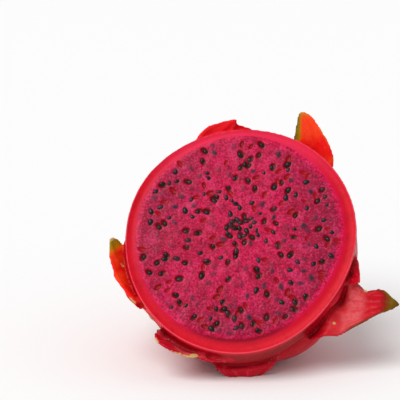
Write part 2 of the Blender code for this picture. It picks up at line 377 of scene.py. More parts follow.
FRONT_SCALES = (
    Scale(102, 0.0130, 0.0180, 0.0190, 0.0026, 16, 38, 0, -46, -10, 0.0010, 0.10, 0.0004,
          Tone(green=0.15, green_from=0.80, warm=0.30, dry=0.15)),
    Scale(51, 0.0180, 0.0262, 0.0135, 0.0043, 16, 48, 0, 34, 0, 0.0010, 0.15, 0.0004,
          Tone(green=0.85, green_from=0.86, warm=1.0, dry=0.1, strip=0.22), taper=0.5),
    Scale(202, 0.0180, 0.0290, 0.0150, 0.0060, 10, 34, 0, -62, 0, 0.0015, 0.20, 0.0008,
          Tone(green=0.8, green_from=0.72, warm=1.0, dry=1.0), taper=0.5),
    Scale(240, 0.0160, 0.0190, 0.0170, 0.0070, 12, 34, 0, -38, 0, 0.0024, 0.10, 0.0004,
          Tone(green=0.1, green_from=0.88, dry=1.0, pale=0.9), taper=0.6),
    Scale(272, 0.0160, 0.0160, 0.0165, 0.0080, 32, 92, 50, 0, 0, 0.0020, 0.00, 0.0003,
          Tone(green=0.05, green_from=0.9, dry=0.2, shade=0.05)),
    Scale(325, 0.0230, 0.0385, 0.0290, 0.0035, 12, 72, 6, 29, -12, 0.0048, 0.20, 0.0010,
          Tone(green=1.0, green_from=0.73, warm=0.1, dry=0.25, pale=1.0),
          fold=0.00035, folds=2.0, pleat=0.0012, bulge=0.5),
    Scale(302, 0.0310, 0.0180, 0.0150, 0.0050, 7, 0, 0, 0, 0, 0.0030, 0.15, 0.0003,
          Tone(green=0.0, green_from=0.9, dry=0.1, shade=0.8)),
)
SIDE_TONE = Tone(green=0.95, green_from=0.50, fresh=1.0, dry=0.4, pale=0.5)
MIDDLE_SCALES = (
    Scale(20, 0.0500, 0.0350, 0.0170, 0.0058, 12, -8, 6, 10, 0, 0.0022, 0.10, 0.0005, SIDE_TONE),
    Scale(77, 0.0540, 0.0350, 0.0180, 0.0058, 11, 5, 18, -10, 0, 0.0026, 0.15, 0.0006, SIDE_TONE),
    Scale(128, 0.0530, 0.0330, 0.0180, 0.0058, 12, 0, 18, 12, 0, 0.0026, 0.15, 0.0006, SIDE_TONE),
    Scale(170, 0.0480, 0.0330, 0.0160, 0.0052, 12, -9, 6, -8, 0, 0.0022, 0.10, 0.0005, SIDE_TONE),
    Scale(216, 0.0500, 0.0330, 0.0160, 0.0050, 12, -8, -2, 8, 0, 0.0018, 0.10, 0.0005, SIDE_TONE),
    Scale(338, 0.0510, 0.0340, 0.0165, 0.0052, 12, -4, 14, 8, 0, 0.0022, 0.10, 0.0005, SIDE_TONE),
)
# Low folds between the front scales, which stand on the skin and add no swelling to it
FOLDS = (
    Scale(345, 0.0170, 0.0190, 0.0130, 0.0040, 10, 26, 10, -20, 0, 0, 0.10, 0.0005,
          Tone(green=0.1, green_from=0.85, dry=0.8, pale=0.2)),
    Scale(256, 0.0150, 0.0145, 0.0130, 0.0060, 12, 28, 0, -20, 0, 0, 0.10, 0.0004,
          Tone(green=0.0, green_from=0.9, dry=1.0, pale=0.3), taper=0.6),
    Scale(210, 0.0160, 0.0165, 0.0130, 0.0060, 13, 20, 0, -16, 0, 0, 0.15, 0.0005,
          Tone(green=0.3, green_from=0.85, warm=0.7, dry=1.0), taper=0.6),
    Scale(93, 0.0125, 0.0125, 0.0135, 0.0050, 20, 34, 0, 20, 0, 0, 0.10, 0.0003,
          Tone(green=0.0, green_from=0.9, warm=0.5, dry=0.1), taper=0.6),
    Scale(327, 0.0165, 0.0150, 0.0210, 0.0080, 8, 12, 0, 0, 0, 0, 0.10, 0.0004,
          Tone(green=0.0, green_from=0.9, dry=0.2, pale=0.2), taper=0.6),
)
STEM_TONE = Tone(green=0.95, green_from=0.45, fresh=0.8, dry=0.6, pale=0.4)
STEM_SCALES = (
    Scale(48, 0.0630, 0.0210, 0.0105, 0.0046, 16, 20, 30, 10, 0, 0.0008, 0.20, 0.0003, STEM_TONE),
    Scale(104, 0.0630, 0.0220, 0.0105, 0.0046, 16, 18, 30, -12, 0, 0.0008, 0.20, 0.0003, STEM_TONE),
    Scale(158, 0.0625, 0.0210, 0.0105, 0.0044, 16, 16, 26, 8, 0, 0.0008, 0.20, 0.0003, STEM_TONE),
    Scale(212, 0.0625, 0.0190, 0.0095, 0.0042, 15, 12, 20, -6, 0, 0.0006, 0.20, 0.0003, STEM_TONE),
    Scale(318, 0.0625, 0.0190, 0.0095, 0.0042, 15, 12, 20, 6, 0, 0.0006, 0.20, 0.0003, STEM_TONE),
    Scale(358, 0.0625, 0.0200, 0.0100, 0.0044, 16, 16, 26, -8, 0, 0.0008, 0.20, 0.0003, STEM_TONE),
)


@dataclass(frozen=True)
class Fleck:
    """A dried, beige fleck on the inner face of a scale."""

    scale: Scale
    along: float
    across: float
    size: float


FLECKS = (
    Fleck(FRONT_SCALES[5], 0.42, -0.62, 0.0010),
    Fleck(FRONT_SCALES[5], 0.66, 0.95, 0.0014),
    Fleck(FRONT_SCALES[5], 0.10, -0.90, 0.0007),
    Fleck(FRONT_SCALES[5], 0.13, -0.80, 0.0006),
    Fleck(FRONT_SCALES[3], 0.50, 0.95, 0.0022),
    Fleck(FRONT_SCALES[3], 0.35, 0.98, 0.0018),
    Fleck(FRONT_SCALES[2], 0.62, 0.10, 0.0012),
    Fleck(FOLDS[1], 0.55, -0.90, 0.0022),
)


@dataclass(frozen=True)
class FruitForm:
    """The round body of the fruit: its section, its taper, its swellings, its wall, and how it lies."""

    radius: float = 0.0455
    stem_depth: float = 0.066
    widest_depth: float = 0.008
    front_length: float = 0.075
    face_tilt: float = math.radians(31.0)
    flat_spot_depth: float = 0.0010
    # The soft lobes of the section: order, height as a share of the radius, and direction of the peak
    lobes: tuple[tuple[int, float, float], ...] = (
        (2, 0.0288, 41.0),
        (3, 0.0135, 29.0),
        (5, 0.0035, 72.0),
    )
    # The wall: thicker on one side, thinned on another, with its directions
    wall_mean: float = 0.0047
    wall_variation: float = 0.0008
    wall_thickest: float = math.radians(-30.0)
    wall_thinning: float = 0.0021
    wall_thinnest: float = math.radians(92.0)
    thin_spread: float = math.radians(28.0)
    wall_at_stem: float = 0.0085
    # The swelling behind a root: its reach to the back and to the front, and how far it leads the root
    swell_back: float = 0.017
    swell_front: float = 0.0075
    swell_lead: float = 0.0065
    # Steps in depth and in direction, from which the skin's outward direction is found
    normal_step: float = 0.0005
    normal_turn: float = 0.01
    # The dip between flesh and wall, darkened with painted shade: place across the wall and spread, depth,
    # and how low it runs
    seam_at: Span = (0.04, 0.17)
    seam_depth: float = 0.00030
    seam_low: Span = (0.80, 0.97)
    # The cut face off its plane: the dished wall, its lip (place and spread), the sunk border of the flesh
    dish_depth: float = 0.00050
    dish_skew: float = 0.8
    dish_roundness: float = 1.5
    lip_height: float = 0.00034
    lip_at: Span = (0.90, 0.085)
    border_depth: float = 0.00014
    border_spread: float = 0.25
    sway: float = 0.00022
    sway_size: float = 0.017
    sway_shift: float = 3.0
    # Where the lowest point is looked for, in whole degrees
    low_azimuth: tuple[int, int] = (240, 301)
    low_latitude: tuple[int, int] = (-80, 1)
    scales: tuple[Scale, ...] = FRONT_SCALES + MIDDLE_SCALES + STEM_SCALES
    folds: tuple[Scale, ...] = FOLDS

    def section_radius(self, azimuth: Any) -> Any:
        """Radius of the widest section in each direction, in radians round the axis."""
        lobes = sum(
            height * np.cos(order * (azimuth - math.radians(peak))) for order, height, peak in self.lobes
        )
        return self.radius * (1.0 + lobes)

    def girth(self, depth: Any) -> Any:
        """Share of the widest radius at each depth behind the cut face, 0 past the stem end."""
        length = np.where(depth < self.widest_depth, self.front_length, self.stem_depth - self.widest_depth)
        return np.sqrt(np.maximum(0.0, 1.0 - ((depth - self.widest_depth) / length) ** 2))

    def plain_skin(self, azimuth: Array, depth: Array) -> Array:
        """Points of the skin without its swellings, by direction and depth behind the cut face."""
        return about_axis(self.section_radius(azimuth) * self.girth(depth), azimuth, depth)

    def skin_normal(self, azimuth: Array, depth: Array) -> Array:
        """Outward directions of the plain skin.

        Args:
            azimuth: direction of each point, in radians.
            depth: depth of each point behind the cut face.

        Returns:
            One direction a row.
        """
        step, turn = self.normal_step, self.normal_turn
        deeper = np.minimum(depth + step, self.stem_depth - step)
        along = self.plain_skin(azimuth, deeper - 2 * step) - self.plain_skin(azimuth, deeper)
        around = self.plain_skin(azimuth + turn, depth) - self.plain_skin(azimuth - turn, depth)
        out = np.cross(around, along)
        return out / np.linalg.norm(out, axis=-1, keepdims=True)

    def swelling(self, azimuth: Any, depth: Any) -> Any:
        """How far the skin swells up behind the roots of the scales.

        Args:
            azimuth: direction of each point, in radians.
            depth: depth of each point behind the cut face.

        Returns:
            The height of the swelling at each point.
        """
        height = 0.0
        for scale in self.scales:
            turn = short_turn(azimuth - math.radians(scale.azimuth))
            side = turn * self.radius * self.girth(scale.depth) / scale.root_width
            back = depth - scale.depth + self.swell_lead
            reach = np.where(back > 0, self.swell_back, self.swell_front)
            height = height + scale.swell * np.exp(-side * side - (back / reach) ** 2)
        return height

    def depth_at(self, latitude: Array, stem_depth: float) -> Array:
        """Depth of each latitude on the sphere that skin and wall are shaped from, in radians."""
        length = np.where(latitude > 0, self.front_length, stem_depth - self.widest_depth)
        return self.widest_depth - length * np.sin(latitude)

    def skin(self, azimuth: Array, latitude: Array) -> Array:
        """Points of the swollen skin.

        Args:
            azimuth: direction of each point, in radians.
            latitude: latitude on the sphere that the skin is shaped from, in radians.

        Returns:
            The points, one a row.
        """
        depth = self.depth_at(latitude, self.stem_depth)
        level = np.cos(latitude)
        radius = self.section_radius(azimuth) * level + self.swelling(azimuth, depth) * np.sqrt(level)
        return about_axis(radius, azimuth, depth)

    def wall(self, azimuth: Any) -> Any:
        """Thickness of the peel in each direction, in radians round the axis."""
        thinned = self.wall_thinning * bell(short_turn(azimuth - self.wall_thinnest), 0.0, self.thin_spread)
        return self.wall_mean + self.wall_variation * np.cos(azimuth - self.wall_thickest) - thinned

    def inner_radius(self, azimuth: Any) -> Any:
        """Radius of the peel's inner wall at its widest, in each direction."""
        return self.section_radius(azimuth) - self.wall(azimuth)

    def inner(self, azimuth: Array, latitude: Array, gap: float = 0.0) -> Array:
        """Points of the peel's inner wall, or of something a gap inside it, by direction and latitude."""
        radius = (self.inner_radius(azimuth) - gap) * np.cos(latitude)
        return about_axis(radius, azimuth, self.depth_at(latitude, self.stem_depth - self.wall_at_stem - gap))

    def face_latitude(self) -> float:
        """Latitude of the cut face on the sphere that the skin is shaped from."""
        return math.asin(self.widest_depth / self.front_length)

    def wall_share(self, points: Array) -> Array:
        """How far places are across the cut wall.

        Args:
            points: the places, one a row.

        Returns:
            0 at the flesh, 1 at the outer edge, less inside and more outside.
        """
        azimuth, radius = polar(points)
        level = math.cos(self.face_latitude())
        inner = self.inner_radius(azimuth) * level
        outer = self.section_radius(azimuth) * level + self.swelling(azimuth, 0.0)
        return (radius - inner) / (outer - inner)

    def seam(self, points: Array) -> Array:
        """Strength, from 0 to 1, of the dip between flesh and wall at the bottom of the cut face, and of its
        painted shade.
        """
        return bell(self.wall_share(points), *self.seam_at) * smoothstep(lowness(points), *self.seam_low)

    def cut_height(self, points: Array) -> Array:
        """How far the cut face stands off its plane: a dished wall with a lip, and a sunk border of flesh.

        Args:
            points: places on the cut face, one a row.

        Returns:
            The height at each place.
        """
        share = self.wall_share(points)
        across = np.clip(share, 0.0, 1.0)
        dish = self.dish_depth * np.sin(math.pi * across**self.dish_skew) ** self.dish_roundness
        lip = self.lip_height * bell(share, *self.lip_at)
        border = self.border_depth * bell(share, 0.0, self.border_spread)
        swayed = self.sway * noise_field(points * (1.0, 1.0, 0.0), self.sway_size, self.sway_shift)
        return lip - dish - border + swayed - self.seam_depth * self.seam(points)

    def resting_place(self) -> Matrix:
        """Turns the fruit so that the cut face looks up and to the front, and sets it on its flat spot.

        Returns:
            The matrix from the fruit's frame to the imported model's.
        """
        turned = Matrix.Rotation(math.radians(90.0) - self.face_tilt, 4, "X")
        azimuth, latitude = np.meshgrid(
            np.radians(np.arange(*self.low_azimuth)),
            np.radians(np.arange(*self.low_latitude)),
        )
        points = self.skin(azimuth.ravel(), latitude.ravel())
        placed = points @ np.array(turned.to_3x3()).T
        lowest = placed[np.argmin(placed[:, 2])]
        down = Vector((-lowest[0], -lowest[1], -self.flat_spot_depth - lowest[2]))
        return Matrix.Translation(down) @ turned


# The shape of a scale's blade


@dataclass(frozen=True)
class BladeForm:
    """How every scale is shaped: a broad buried root that narrows to a thin, folded leaf."""

    form: FruitForm
    root_sink: float = 0.0026
    root_drop: float = 0.0040
    root_thickness: float = 0.0036
    tip_thickness: float = 0.0010
    thinning: float = 1.5
    face_roundness: float = 0.6
    ripple_waves: float = 9.0
    small_ripple: float = 0.4
    small_ripple_rate: float = 3.1
    pleats: float = 5.0
    least_girth: float = 0.35
    stations: int = 48
    rings: int = 72
    around: int = 56
    # Shares of the length over which each turn, roll and width comes in or goes out
    flare_span: Span = (0.12, 0.62)
    curl_span: Span = (0.55, 1.0)
    lean_span: Span = (0.10, 0.55)
    hook_span: Span = (0.60, 1.0)
    cup_span: Span = (0.3, 0.7)
    drop_span: Span = (0.05, 0.45)
    root_rounding: Span = (-0.02, 0.04)
    tip_rounding: Span = (0.94, 1.04)
    shoulder_span: Span = (-0.35, 0.12)
    fold_rise: Span = (0.10, 0.45)
    fold_fall: Span = (0.80, 1.0)
    pleat_rise: Span = (0.04, 0.12)
    pleat_fall: Span = (0.36, 0.56)
    # The bulge and the notch before it, each by place and spread, and the notch's depth beside the bulge
    bulge_at: Span = (0.84, 0.08)
    notch_at: Span = (0.67, 0.05)
    notch_share: float = 0.35

    def middle_line(self, scale: Scale) -> tuple[Array, Array]:
        """The run of a scale's middle.

        Args:
            scale: the scale.

        Returns:
            The shares of its length, and at each its slope, sideways turn, side, forward and height.
        """
        along = np.linspace(0.0, 1.0, self.stations + 1)
        flare = scale.flare * smoothstep(along, *self.flare_span)
        curl = scale.curl * smoothstep(along, *self.curl_span)
        slope = np.radians(scale.rise + flare + curl)
        lean = scale.lean * smoothstep(along, *self.lean_span)
        turn = np.radians(lean + scale.hook * smoothstep(along, *self.hook_span))
        step = scale.length / self.stations
        moves = np.stack([np.sin(turn), np.cos(turn) * np.cos(slope), np.cos(turn) * np.sin(slope)])
        run = np.cumsum(step * moves, axis=1) - step * moves
        run[2] -= self.root_sink
        return along, np.vstack([slope, turn, run])

    def half_width(self, scale: Scale, along: Array) -> Array:
        """Half the width of a scale at shares of its length."""
        blade = scale.blade_width * (4.0 * along * (1.0 - along)) ** scale.taper
        return (scale.root_width * (1.0 - along) ** 2 + blade) * smoothstep(along, *self.shoulder_span)

    def thickness(self, along: Array) -> Array:
        """Thickness of a scale, which thins towards its tip and rounds off at both ends.

        Args:
            along: shares of its length.

        Returns:
            The thickness at each share.
        """
        gain = self.root_thickness - self.tip_thickness
        full = self.tip_thickness + gain * (1.0 - along) ** self.thinning
        return full * smoothstep(along, *self.root_rounding) * (1.0 - smoothstep(along, *self.tip_rounding))

    def roll(self, scale: Scale, along: Array, across: Array) -> Array:
        """How far a point across a scale lies off its flat.

        Args:
            scale: the scale.
            along: shares of its length.
            across: shares of its half width, from -1 to 1.

        Returns:
            The height: margins rolled in and waved, root wrapped round the skin, folds along the blade.
        """
        width = self.half_width(scale, along)
        cupped = scale.cup * width * across * across * smoothstep(along, *self.cup_span)
        wrapped = self.root_drop * across * across * (1.0 - smoothstep(along, *self.drop_span))
        wave = np.sin(self.ripple_waves * along + 2.0 * across)
        small_turn = self.small_ripple_rate * self.ripple_waves * along - 3.0 * across
        small_wave = np.sin(small_turn + scale.azimuth)
        waved = scale.ripple * np.abs(across) ** 3 * (wave + self.small_ripple * small_wave)
        folded = scale.fold * np.cos(scale.folds * math.pi * across + scale.azimuth)
        folded = folded * window(along, self.fold_rise, self.fold_fall)
        pleated = scale.pleat * np.sin(self.pleats * math.tau * along + 2.0 * across)
        pleated = pleated * window(along, self.pleat_rise, self.pleat_fall)
        return waved + folded + pleated - cupped - wrapped

    def margin(self, scale: Scale, along: Array, across: Array) -> Array:
        """Factor on the half width at shares of length and half width, for a scale's notch and bulge."""
        departure = bell(along, *self.bulge_at) - self.notch_share * bell(along, *self.notch_at)
        return 1.0 + scale.bulge * departure * smoothstep(across, 0.0, 1.0)

    def places(self, scale: Scale, along: Array, around: Array) -> Array:
        """Points of a scale's skin.

        Args:
            scale: the scale.
            along: share of its length, from root to tip.
            around: angle round the blade: 0 and pi are its margins, pi / 2 its outer face.

        Returns:
            The points, one a row.
        """
        stations, values = self.middle_line(scale)
        slope, turn, side, forward, height = (np.interp(along, stations, row) for row in values)
        across, face = np.cos(around), np.sin(around)
        reach = self.half_width(scale, along) * across * self.margin(scale, along, across)
        thick = 0.5 * self.thickness(along) * np.sign(face) * np.abs(face) ** self.face_roundness
        lifted = self.roll(scale, along, across) + thick
        x = side + reach * np.cos(turn)
        y = forward - reach * np.sin(turn) * np.cos(slope) - lifted * np.sin(slope)
        z = height - reach * np.sin(turn) * np.sin(slope) + lifted * np.cos(slope)
        level = max(self.least_girth, float(self.form.girth(scale.depth)))
        azimuth = math.radians(scale.azimuth) + x / (self.form.radius * level)
        depth = scale.depth - y
        return self.form.plain_skin(azimuth, depth) + self.form.skin_normal(azimuth, depth) * z[..., None]

    def grid(self, scale: Scale) -> tuple[Array, Array, Array]:
        """The rings of points over a scale.

        Args:
            scale: the scale.

        Returns:
            The share along, the angle around, and the place of each point, as ring and place in the ring.
        """
        shares = np.linspace(0.0, 1.0, self.rings + 1)[1:-1]
        along, around = np.meshgrid(shares, directions(self.around), indexing="ij")
        return along, around, self.places(scale, along, around)

    def mesh(self, scale: Scale) -> Mesh:
        """A scale as a closed mesh, cut off where it passes the cut face.

        Args:
            scale: the scale.

        Returns:
            The new mesh.
        """
        rings = self.grid(scale)[2]
        ends = self.places(scale, np.array([0.0, 1.0]), np.full(2, math.pi / 2))
        mesh = closed_grid("blade", rings, *ends)
        with edited(mesh) as shape:
            parts = list(shape.verts) + list(shape.edges) + list(shape.faces)
            cut = bmesh.ops.bisect_plane(
                shape, geom=parts, plane_co=(0, 0, 0), plane_no=(0, 0, 1), clear_outer=True
            )
            edges = [item for item in cut["geom_cut"] if isinstance(item, bmesh.types.BMEdge)]
            if edges:
                bmesh.ops.holes_fill(shape, edges=edges, sides=0)
        return mesh


# Materials: one class wraps a socket for the sums, and one method makes every other node


class Signal:
    """A value in a material. Sums on it add Math nodes."""

    def __init__(self, looks: "Looks", socket: Socket) -> None:
        """Wraps a node's output."""
        self.looks = looks
        self.socket = socket

    def _math(self, operation: str, first: Any, second: Any = 0.0, clamp: bool = False) -> "Signal":
        """Adds a Math node on two numbers or signals."""
        settings = {"operation": operation, "use_clamp": clamp}
        return self.looks.node("ShaderNodeMath", settings, {0: first, 1: second})

    def __add__(self, other: Any) -> "Signal":
        """The sum."""
        return self._math("ADD", self, other)

    __radd__ = __add__

    def __sub__(self, other: Any) -> "Signal":
        """The difference."""
        return self._math("SUBTRACT", self, other)

    def __rsub__(self, other: Any) -> "Signal":
        """The difference from a number."""
        return self._math("SUBTRACT", other, self)

    def __mul__(self, other: Any) -> "Signal":
        """The product."""
        return self._math("MULTIPLY", self, other)

    __rmul__ = __mul__

    def clamped(self) -> "Signal":
        """The value kept between 0 and 1."""
        return self._math("ADD", self, 0.0, clamp=True)

    def step(self, start: float, end: float) -> "Signal":
        """A soft step from 0 at start to 1 at end, which may also fall."""
        settings = {"interpolation_type": "SMOOTHSTEP"}
        return self.looks.node("ShaderNodeMapRange", settings, {0: self, 1: start, 2: end, 3: 0.0, 4: 1.0})


class NodeTree:
    """A tree of nodes, with one method that adds any of them."""

    def __init__(self, tree: bpy.types.NodeTree) -> None:
        """Works on a tree."""
        self.tree = tree

    def add(
        self,
        kind: str,
        settings: Mapping[str, Any] | None = None,
        values: Mapping[int | str, Any] | None = None,
    ) -> bpy.types.Node:
        """Adds any node.

        Args:
            kind: its type.
            settings: its own settings, with a ramp's stops under "stops".
            values: a value, a signal or an output for each of its sockets.

        Returns:
            The node.
        """
        made = self.tree.nodes.new(kind)
        for name, value in (settings or {}).items():
            if name == "stops":
                self._set_stops(made.color_ramp, value)
            else:
                setattr(made, name, value)
        for socket, value in (values or {}).items():
            self.feed(made.inputs[socket], value)
        return made

    @staticmethod
    def _set_stops(ramp: bpy.types.ColorRamp, stops: Sequence[tuple[float, Colour]]) -> None:
        """Gives a ramp its stops.

        Args:
            ramp: the ramp.
            stops: position and colour of each.
        """
        while len(ramp.elements) < len(stops):
            ramp.elements.new(0.5)
        for element, (position, colour) in zip(ramp.elements, stops):
            element.position = position
            element.color = (*colour, 1.0)

    def feed(self, socket: Socket, value: Any) -> None:
        """Links to a socket, or sets its value.

        Args:
            socket: the input.
            value: a signal, an output, a number or a colour.
        """
        source = value.socket if isinstance(value, Signal) else value
        if isinstance(source, Socket):
            self.tree.links.new(source, socket)
        elif isinstance(value, tuple) and socket.type == "RGBA":
            socket.default_value = (*value, 1.0)
        else:
            socket.default_value = value


class Looks(NodeTree):
    """The node tree of one material, with a Principled shader at its end."""

    def __init__(self, name: str) -> None:
        """Starts a material with nothing but its shader.

        Args:
            name: the material's name.
        """
        self.material = bpy.data.materials.new(name)
        self.material.use_nodes = True
        super().__init__(self.material.node_tree)
        self.shader = self.tree.nodes["Principled BSDF"]

    def node(self, *node: Any, output: int | str = 0) -> Signal:
        """Adds any node and gives one of its outputs."""
        return Signal(self, self.add(*node).outputs[output])

    def places(self) -> Signal:
        """Object coordinates, in metres."""
        return self.node("ShaderNodeTexCoord", output="Object")

    def attribute(self, name: str) -> Signal:
        """One of the piece's own numbers."""
        return self.node("ShaderNodeAttribute", {"attribute_name": name}, output="Fac")

    def noise(self, size: float, detail: float = 2.0, rough: float = 0.5, warp: float = 0.0) -> Signal:
        """Noise from 0 to 1 in hills of a size: its finer layers, their strength, how far it is stirred."""
        values = {"Vector": self.places(), "Scale": 1.0 / size, "Detail": detail, "Roughness": rough}
        return self.node("ShaderNodeTexNoise", None, {**values, "Distortion": warp})

    def cells(self, size: float) -> Signal:
        """Round cells over the surface, each about as wide as size: the distance from a cell's middle."""
        return self.node("ShaderNodeTexVoronoi", None, {"Vector": self.places(), "Scale": 1.0 / size})

    def mix(self, share: Any, first: Any, second: Any) -> Signal:
        """Mixes two colours or signals, with a share of the second."""
        settings = {"data_type": "RGBA", "clamp_factor": True}
        return self.node("ShaderNodeMix", settings, {0: share, 6: first, 7: second}, output=2)

    def layers(self, colour: Any, *layers: tuple[Any, Any]) -> Signal:
        """Lays colours over one another.

        Args:
            colour: the lowest.
            layers: the share and the colour of each that lies over it.

        Returns:
            The mixed colour.
        """
        for share, tint in layers:
            colour = self.mix(share, colour, tint)
        return colour

    def ramp(self, share: Signal, *stops: tuple[float, Colour]) -> Signal:
        """The colour at a share along a run of stops, each a position and a colour."""
        return self.node("ShaderNodeValToRGB", {"stops": stops}, {0: share})

    def bump(self, height: Signal, depth: float, strength: float) -> Signal:
        """Relief for the shader's Normal: depth is what a height of 1 stands for."""
        values = {"Height": height, "Distance": depth, "Strength": strength}
        return self.node("ShaderNodeBump", None, values)

    def set(self, **values: Any) -> None:
        """Sets sockets of the shader by their names, with _ for a space."""
        for name, value in values.items():
            self.feed(self.shader.inputs[name.replace("_", " ")], value)


@dataclass(frozen=True)
class SkinFinish:
    """The peel: waxy pink-red skin, green and dried scale tips, and the moist cut wall."""

    skin: Colour = linear(206, 34, 64)
    skin_light: Colour = linear(224, 78, 98)
    skin_deep: Colour = linear(166, 6, 28)
    front_skin: Colour = linear(180, 4, 28)
    front_light: Colour = linear(194, 14, 38)
    # Painted shade: the dark red laid in the creases, where shade falls
    crease: Colour = linear(126, 0, 10)
    shaded: Colour = linear(140, 0, 8)
    warm: Colour = linear(228, 20, 12)
    warm_light: Colour = linear(240, 68, 22)
    pale: Colour = linear(228, 110, 112)
    brown: Colour = linear(124, 22, 4)
    olive: Colour = linear(110, 78, 0)
    olive_deep: Colour = linear(82, 58, 0)
    amber: Colour = linear(206, 108, 6)
    moss: Colour = linear(150, 120, 6)
    moss_deep: Colour = linear(96, 80, 4)
    yellow: Colour = linear(190, 150, 52)
    grass: Colour = linear(138, 160, 50)
    grass_deep: Colour = linear(92, 122, 30)
    dry: Colour = linear(196, 160, 100)
    cut_inner: Colour = linear(202, 8, 66)
    cut_middle: Colour = linear(192, 6, 30)
    cut_outer: Colour = linear(206, 10, 34)
    # Painted highlight: a light line along the outer edge of the cut wall, over its lip
    cut_edge: Colour = linear(236, 92, 108)
    cut_deep: Colour = linear(168, 2, 22)
    cut_light: Colour = linear(214, 26, 62)
    # Painted light: the cut wall made brighter towards the top, as if lit through
    cut_painted_light: Colour = linear(238, 50, 92)
    # Painted shade in the dip between flesh and wall
    cut_seam_shade: Colour = linear(120, 0, 16)
    # Painted light: the scales near the top made a brighter red, as if lit through
    painted_light_red: Colour = linear(252, 26, 40)
    roughness: float = 0.36
    cut_roughness: float = 0.42
    # Sizes of the patterns and depth of the relief
    mottle_size: float = 0.011
    fine_size: float = 0.0016
    speck_size: float = 0.0013
    speck_patch: float = 0.004
    fibre_size: float = 0.0007
    patch_size: float = 0.0045
    cell_size: float = 0.0009
    relief: float = 0.00012

    def make(self) -> bpy.types.Material:
        """Builds the material.

        Returns:
            The finished material.
        """
        looks = Looks("peel_skin")
        mottle = looks.noise(self.mottle_size, 3.0, 0.55, 0.4)
        fine = looks.noise(self.fine_size, 3.0, 0.6)
        front = (looks.attribute("front") + (mottle - 0.5) * 0.4).clamped()
        vein, warm = looks.attribute("vein"), looks.attribute("warm")
        green = (looks.attribute("green") + (mottle - 0.5) * 0.35 + (fine - 0.5) * 0.2).clamped()
        brown = ((0.0, self.skin_deep), (0.32, self.brown), (0.62, self.olive), (1.0, self.olive_deep))
        glowing = ((0.0, self.warm_light), (0.3, self.amber), (0.6, self.moss), (1.0, self.moss_deep))
        fresh = ((0.0, self.skin_light), (0.35, self.yellow), (0.65, self.grass), (1.0, self.grass_deep))
        old = looks.mix(warm.step(0.3, 0.8), looks.ramp(green, *brown), looks.ramp(green, *glowing))
        dry = (looks.attribute("dry") * 1.3 + (fine - 0.5) * 0.9 - 0.2).step(0.25, 0.55)
        specks = looks.cells(self.speck_size).step(0.26, 0.10) * looks.noise(self.speck_patch).step(0.45, 0.6)
        outside = looks.layers(
            looks.mix(front, self.skin, self.front_skin),
            (mottle.step(0.35, 0.70), looks.mix(front, self.skin_light, self.front_light)),
            (mottle.step(0.48, 0.25) * (front * 0.4 + 0.3), self.skin_deep),
            (looks.attribute("pale") * (vein * 0.5 + 0.5) * fine.step(0.1, 0.6), self.pale),
            (warm, looks.mix(mottle.step(0.40, 0.65), self.warm, self.warm_light)),
            (vein.step(0.0, 1.0) * (0.45 - warm * 0.25), self.skin_deep),
            (vein.step(-0.1, -0.9) * 0.30 * (1.0 - warm), self.skin_light),
            # Painted shade on scales in shadow and on the skin under the lower rim
            (looks.attribute("shade"), self.shaded),
            # Painted shade in the creases
            (looks.attribute("crease").step(0.15, 1.0) * (0.8 - warm * 0.6), self.crease),
            # Painted light: scales near the top made brighter
            (looks.attribute("glow") * (0.75 - warm * 0.6), self.painted_light_red),
            (green.step(0.06, 0.42), looks.mix(looks.attribute("fresh"), old, looks.ramp(green, *fresh))),
            (dry, self.dry),
            (specks * 0.35, self.pale),
        )
        cut, wall = looks.attribute("cut"), looks.attribute("wall")
        fibre = looks.noise(self.fibre_size, 2.0, 0.6)
        patch = looks.noise(self.patch_size, 3.0, 0.6)
        across = (wall + (patch - 0.5) * 0.34 + (fibre - 0.5) * 0.12).clamped()
        moist = looks.layers(
            looks.ramp(across, (0.0, self.cut_inner), (0.30, self.cut_middle), (0.80, self.cut_outer)),
            (fibre.step(0.35, 0.75) * 0.22, self.cut_light),
            (patch.step(0.52, 0.36) * 0.35, self.cut_deep),
            # Painted highlight along the outer edge of the cut wall
            (wall.step(0.85, 0.93) * wall.step(1.0, 0.95) * 0.55, self.cut_edge),
            # Painted light: the cut wall made brighter towards the top
            (looks.attribute("glow") * 0.5, self.cut_painted_light),
            # Painted shade in the dip between flesh and wall
            (looks.attribute("seam") * 0.8, self.cut_seam_shade),
        )
        colour = looks.mix(cut, outside, moist)
        sheen = (1.0 - cut) * self.roughness + cut * self.cut_roughness
        looks.set(
            Base_Color=colour,
            Roughness=(sheen + (fine - 0.5) * 0.16 + dry * 0.25).clamped(),
            Subsurface_Weight=0.08,
            Subsurface_Radius=(1.0, 0.2, 0.2),
            Subsurface_Scale=0.0010,
            Specular_IOR_Level=0.11,
            Normal=looks.bump(fine * 0.6 + looks.cells(self.cell_size) * 0.5, self.relief, 0.55),
        )
        return looks.material


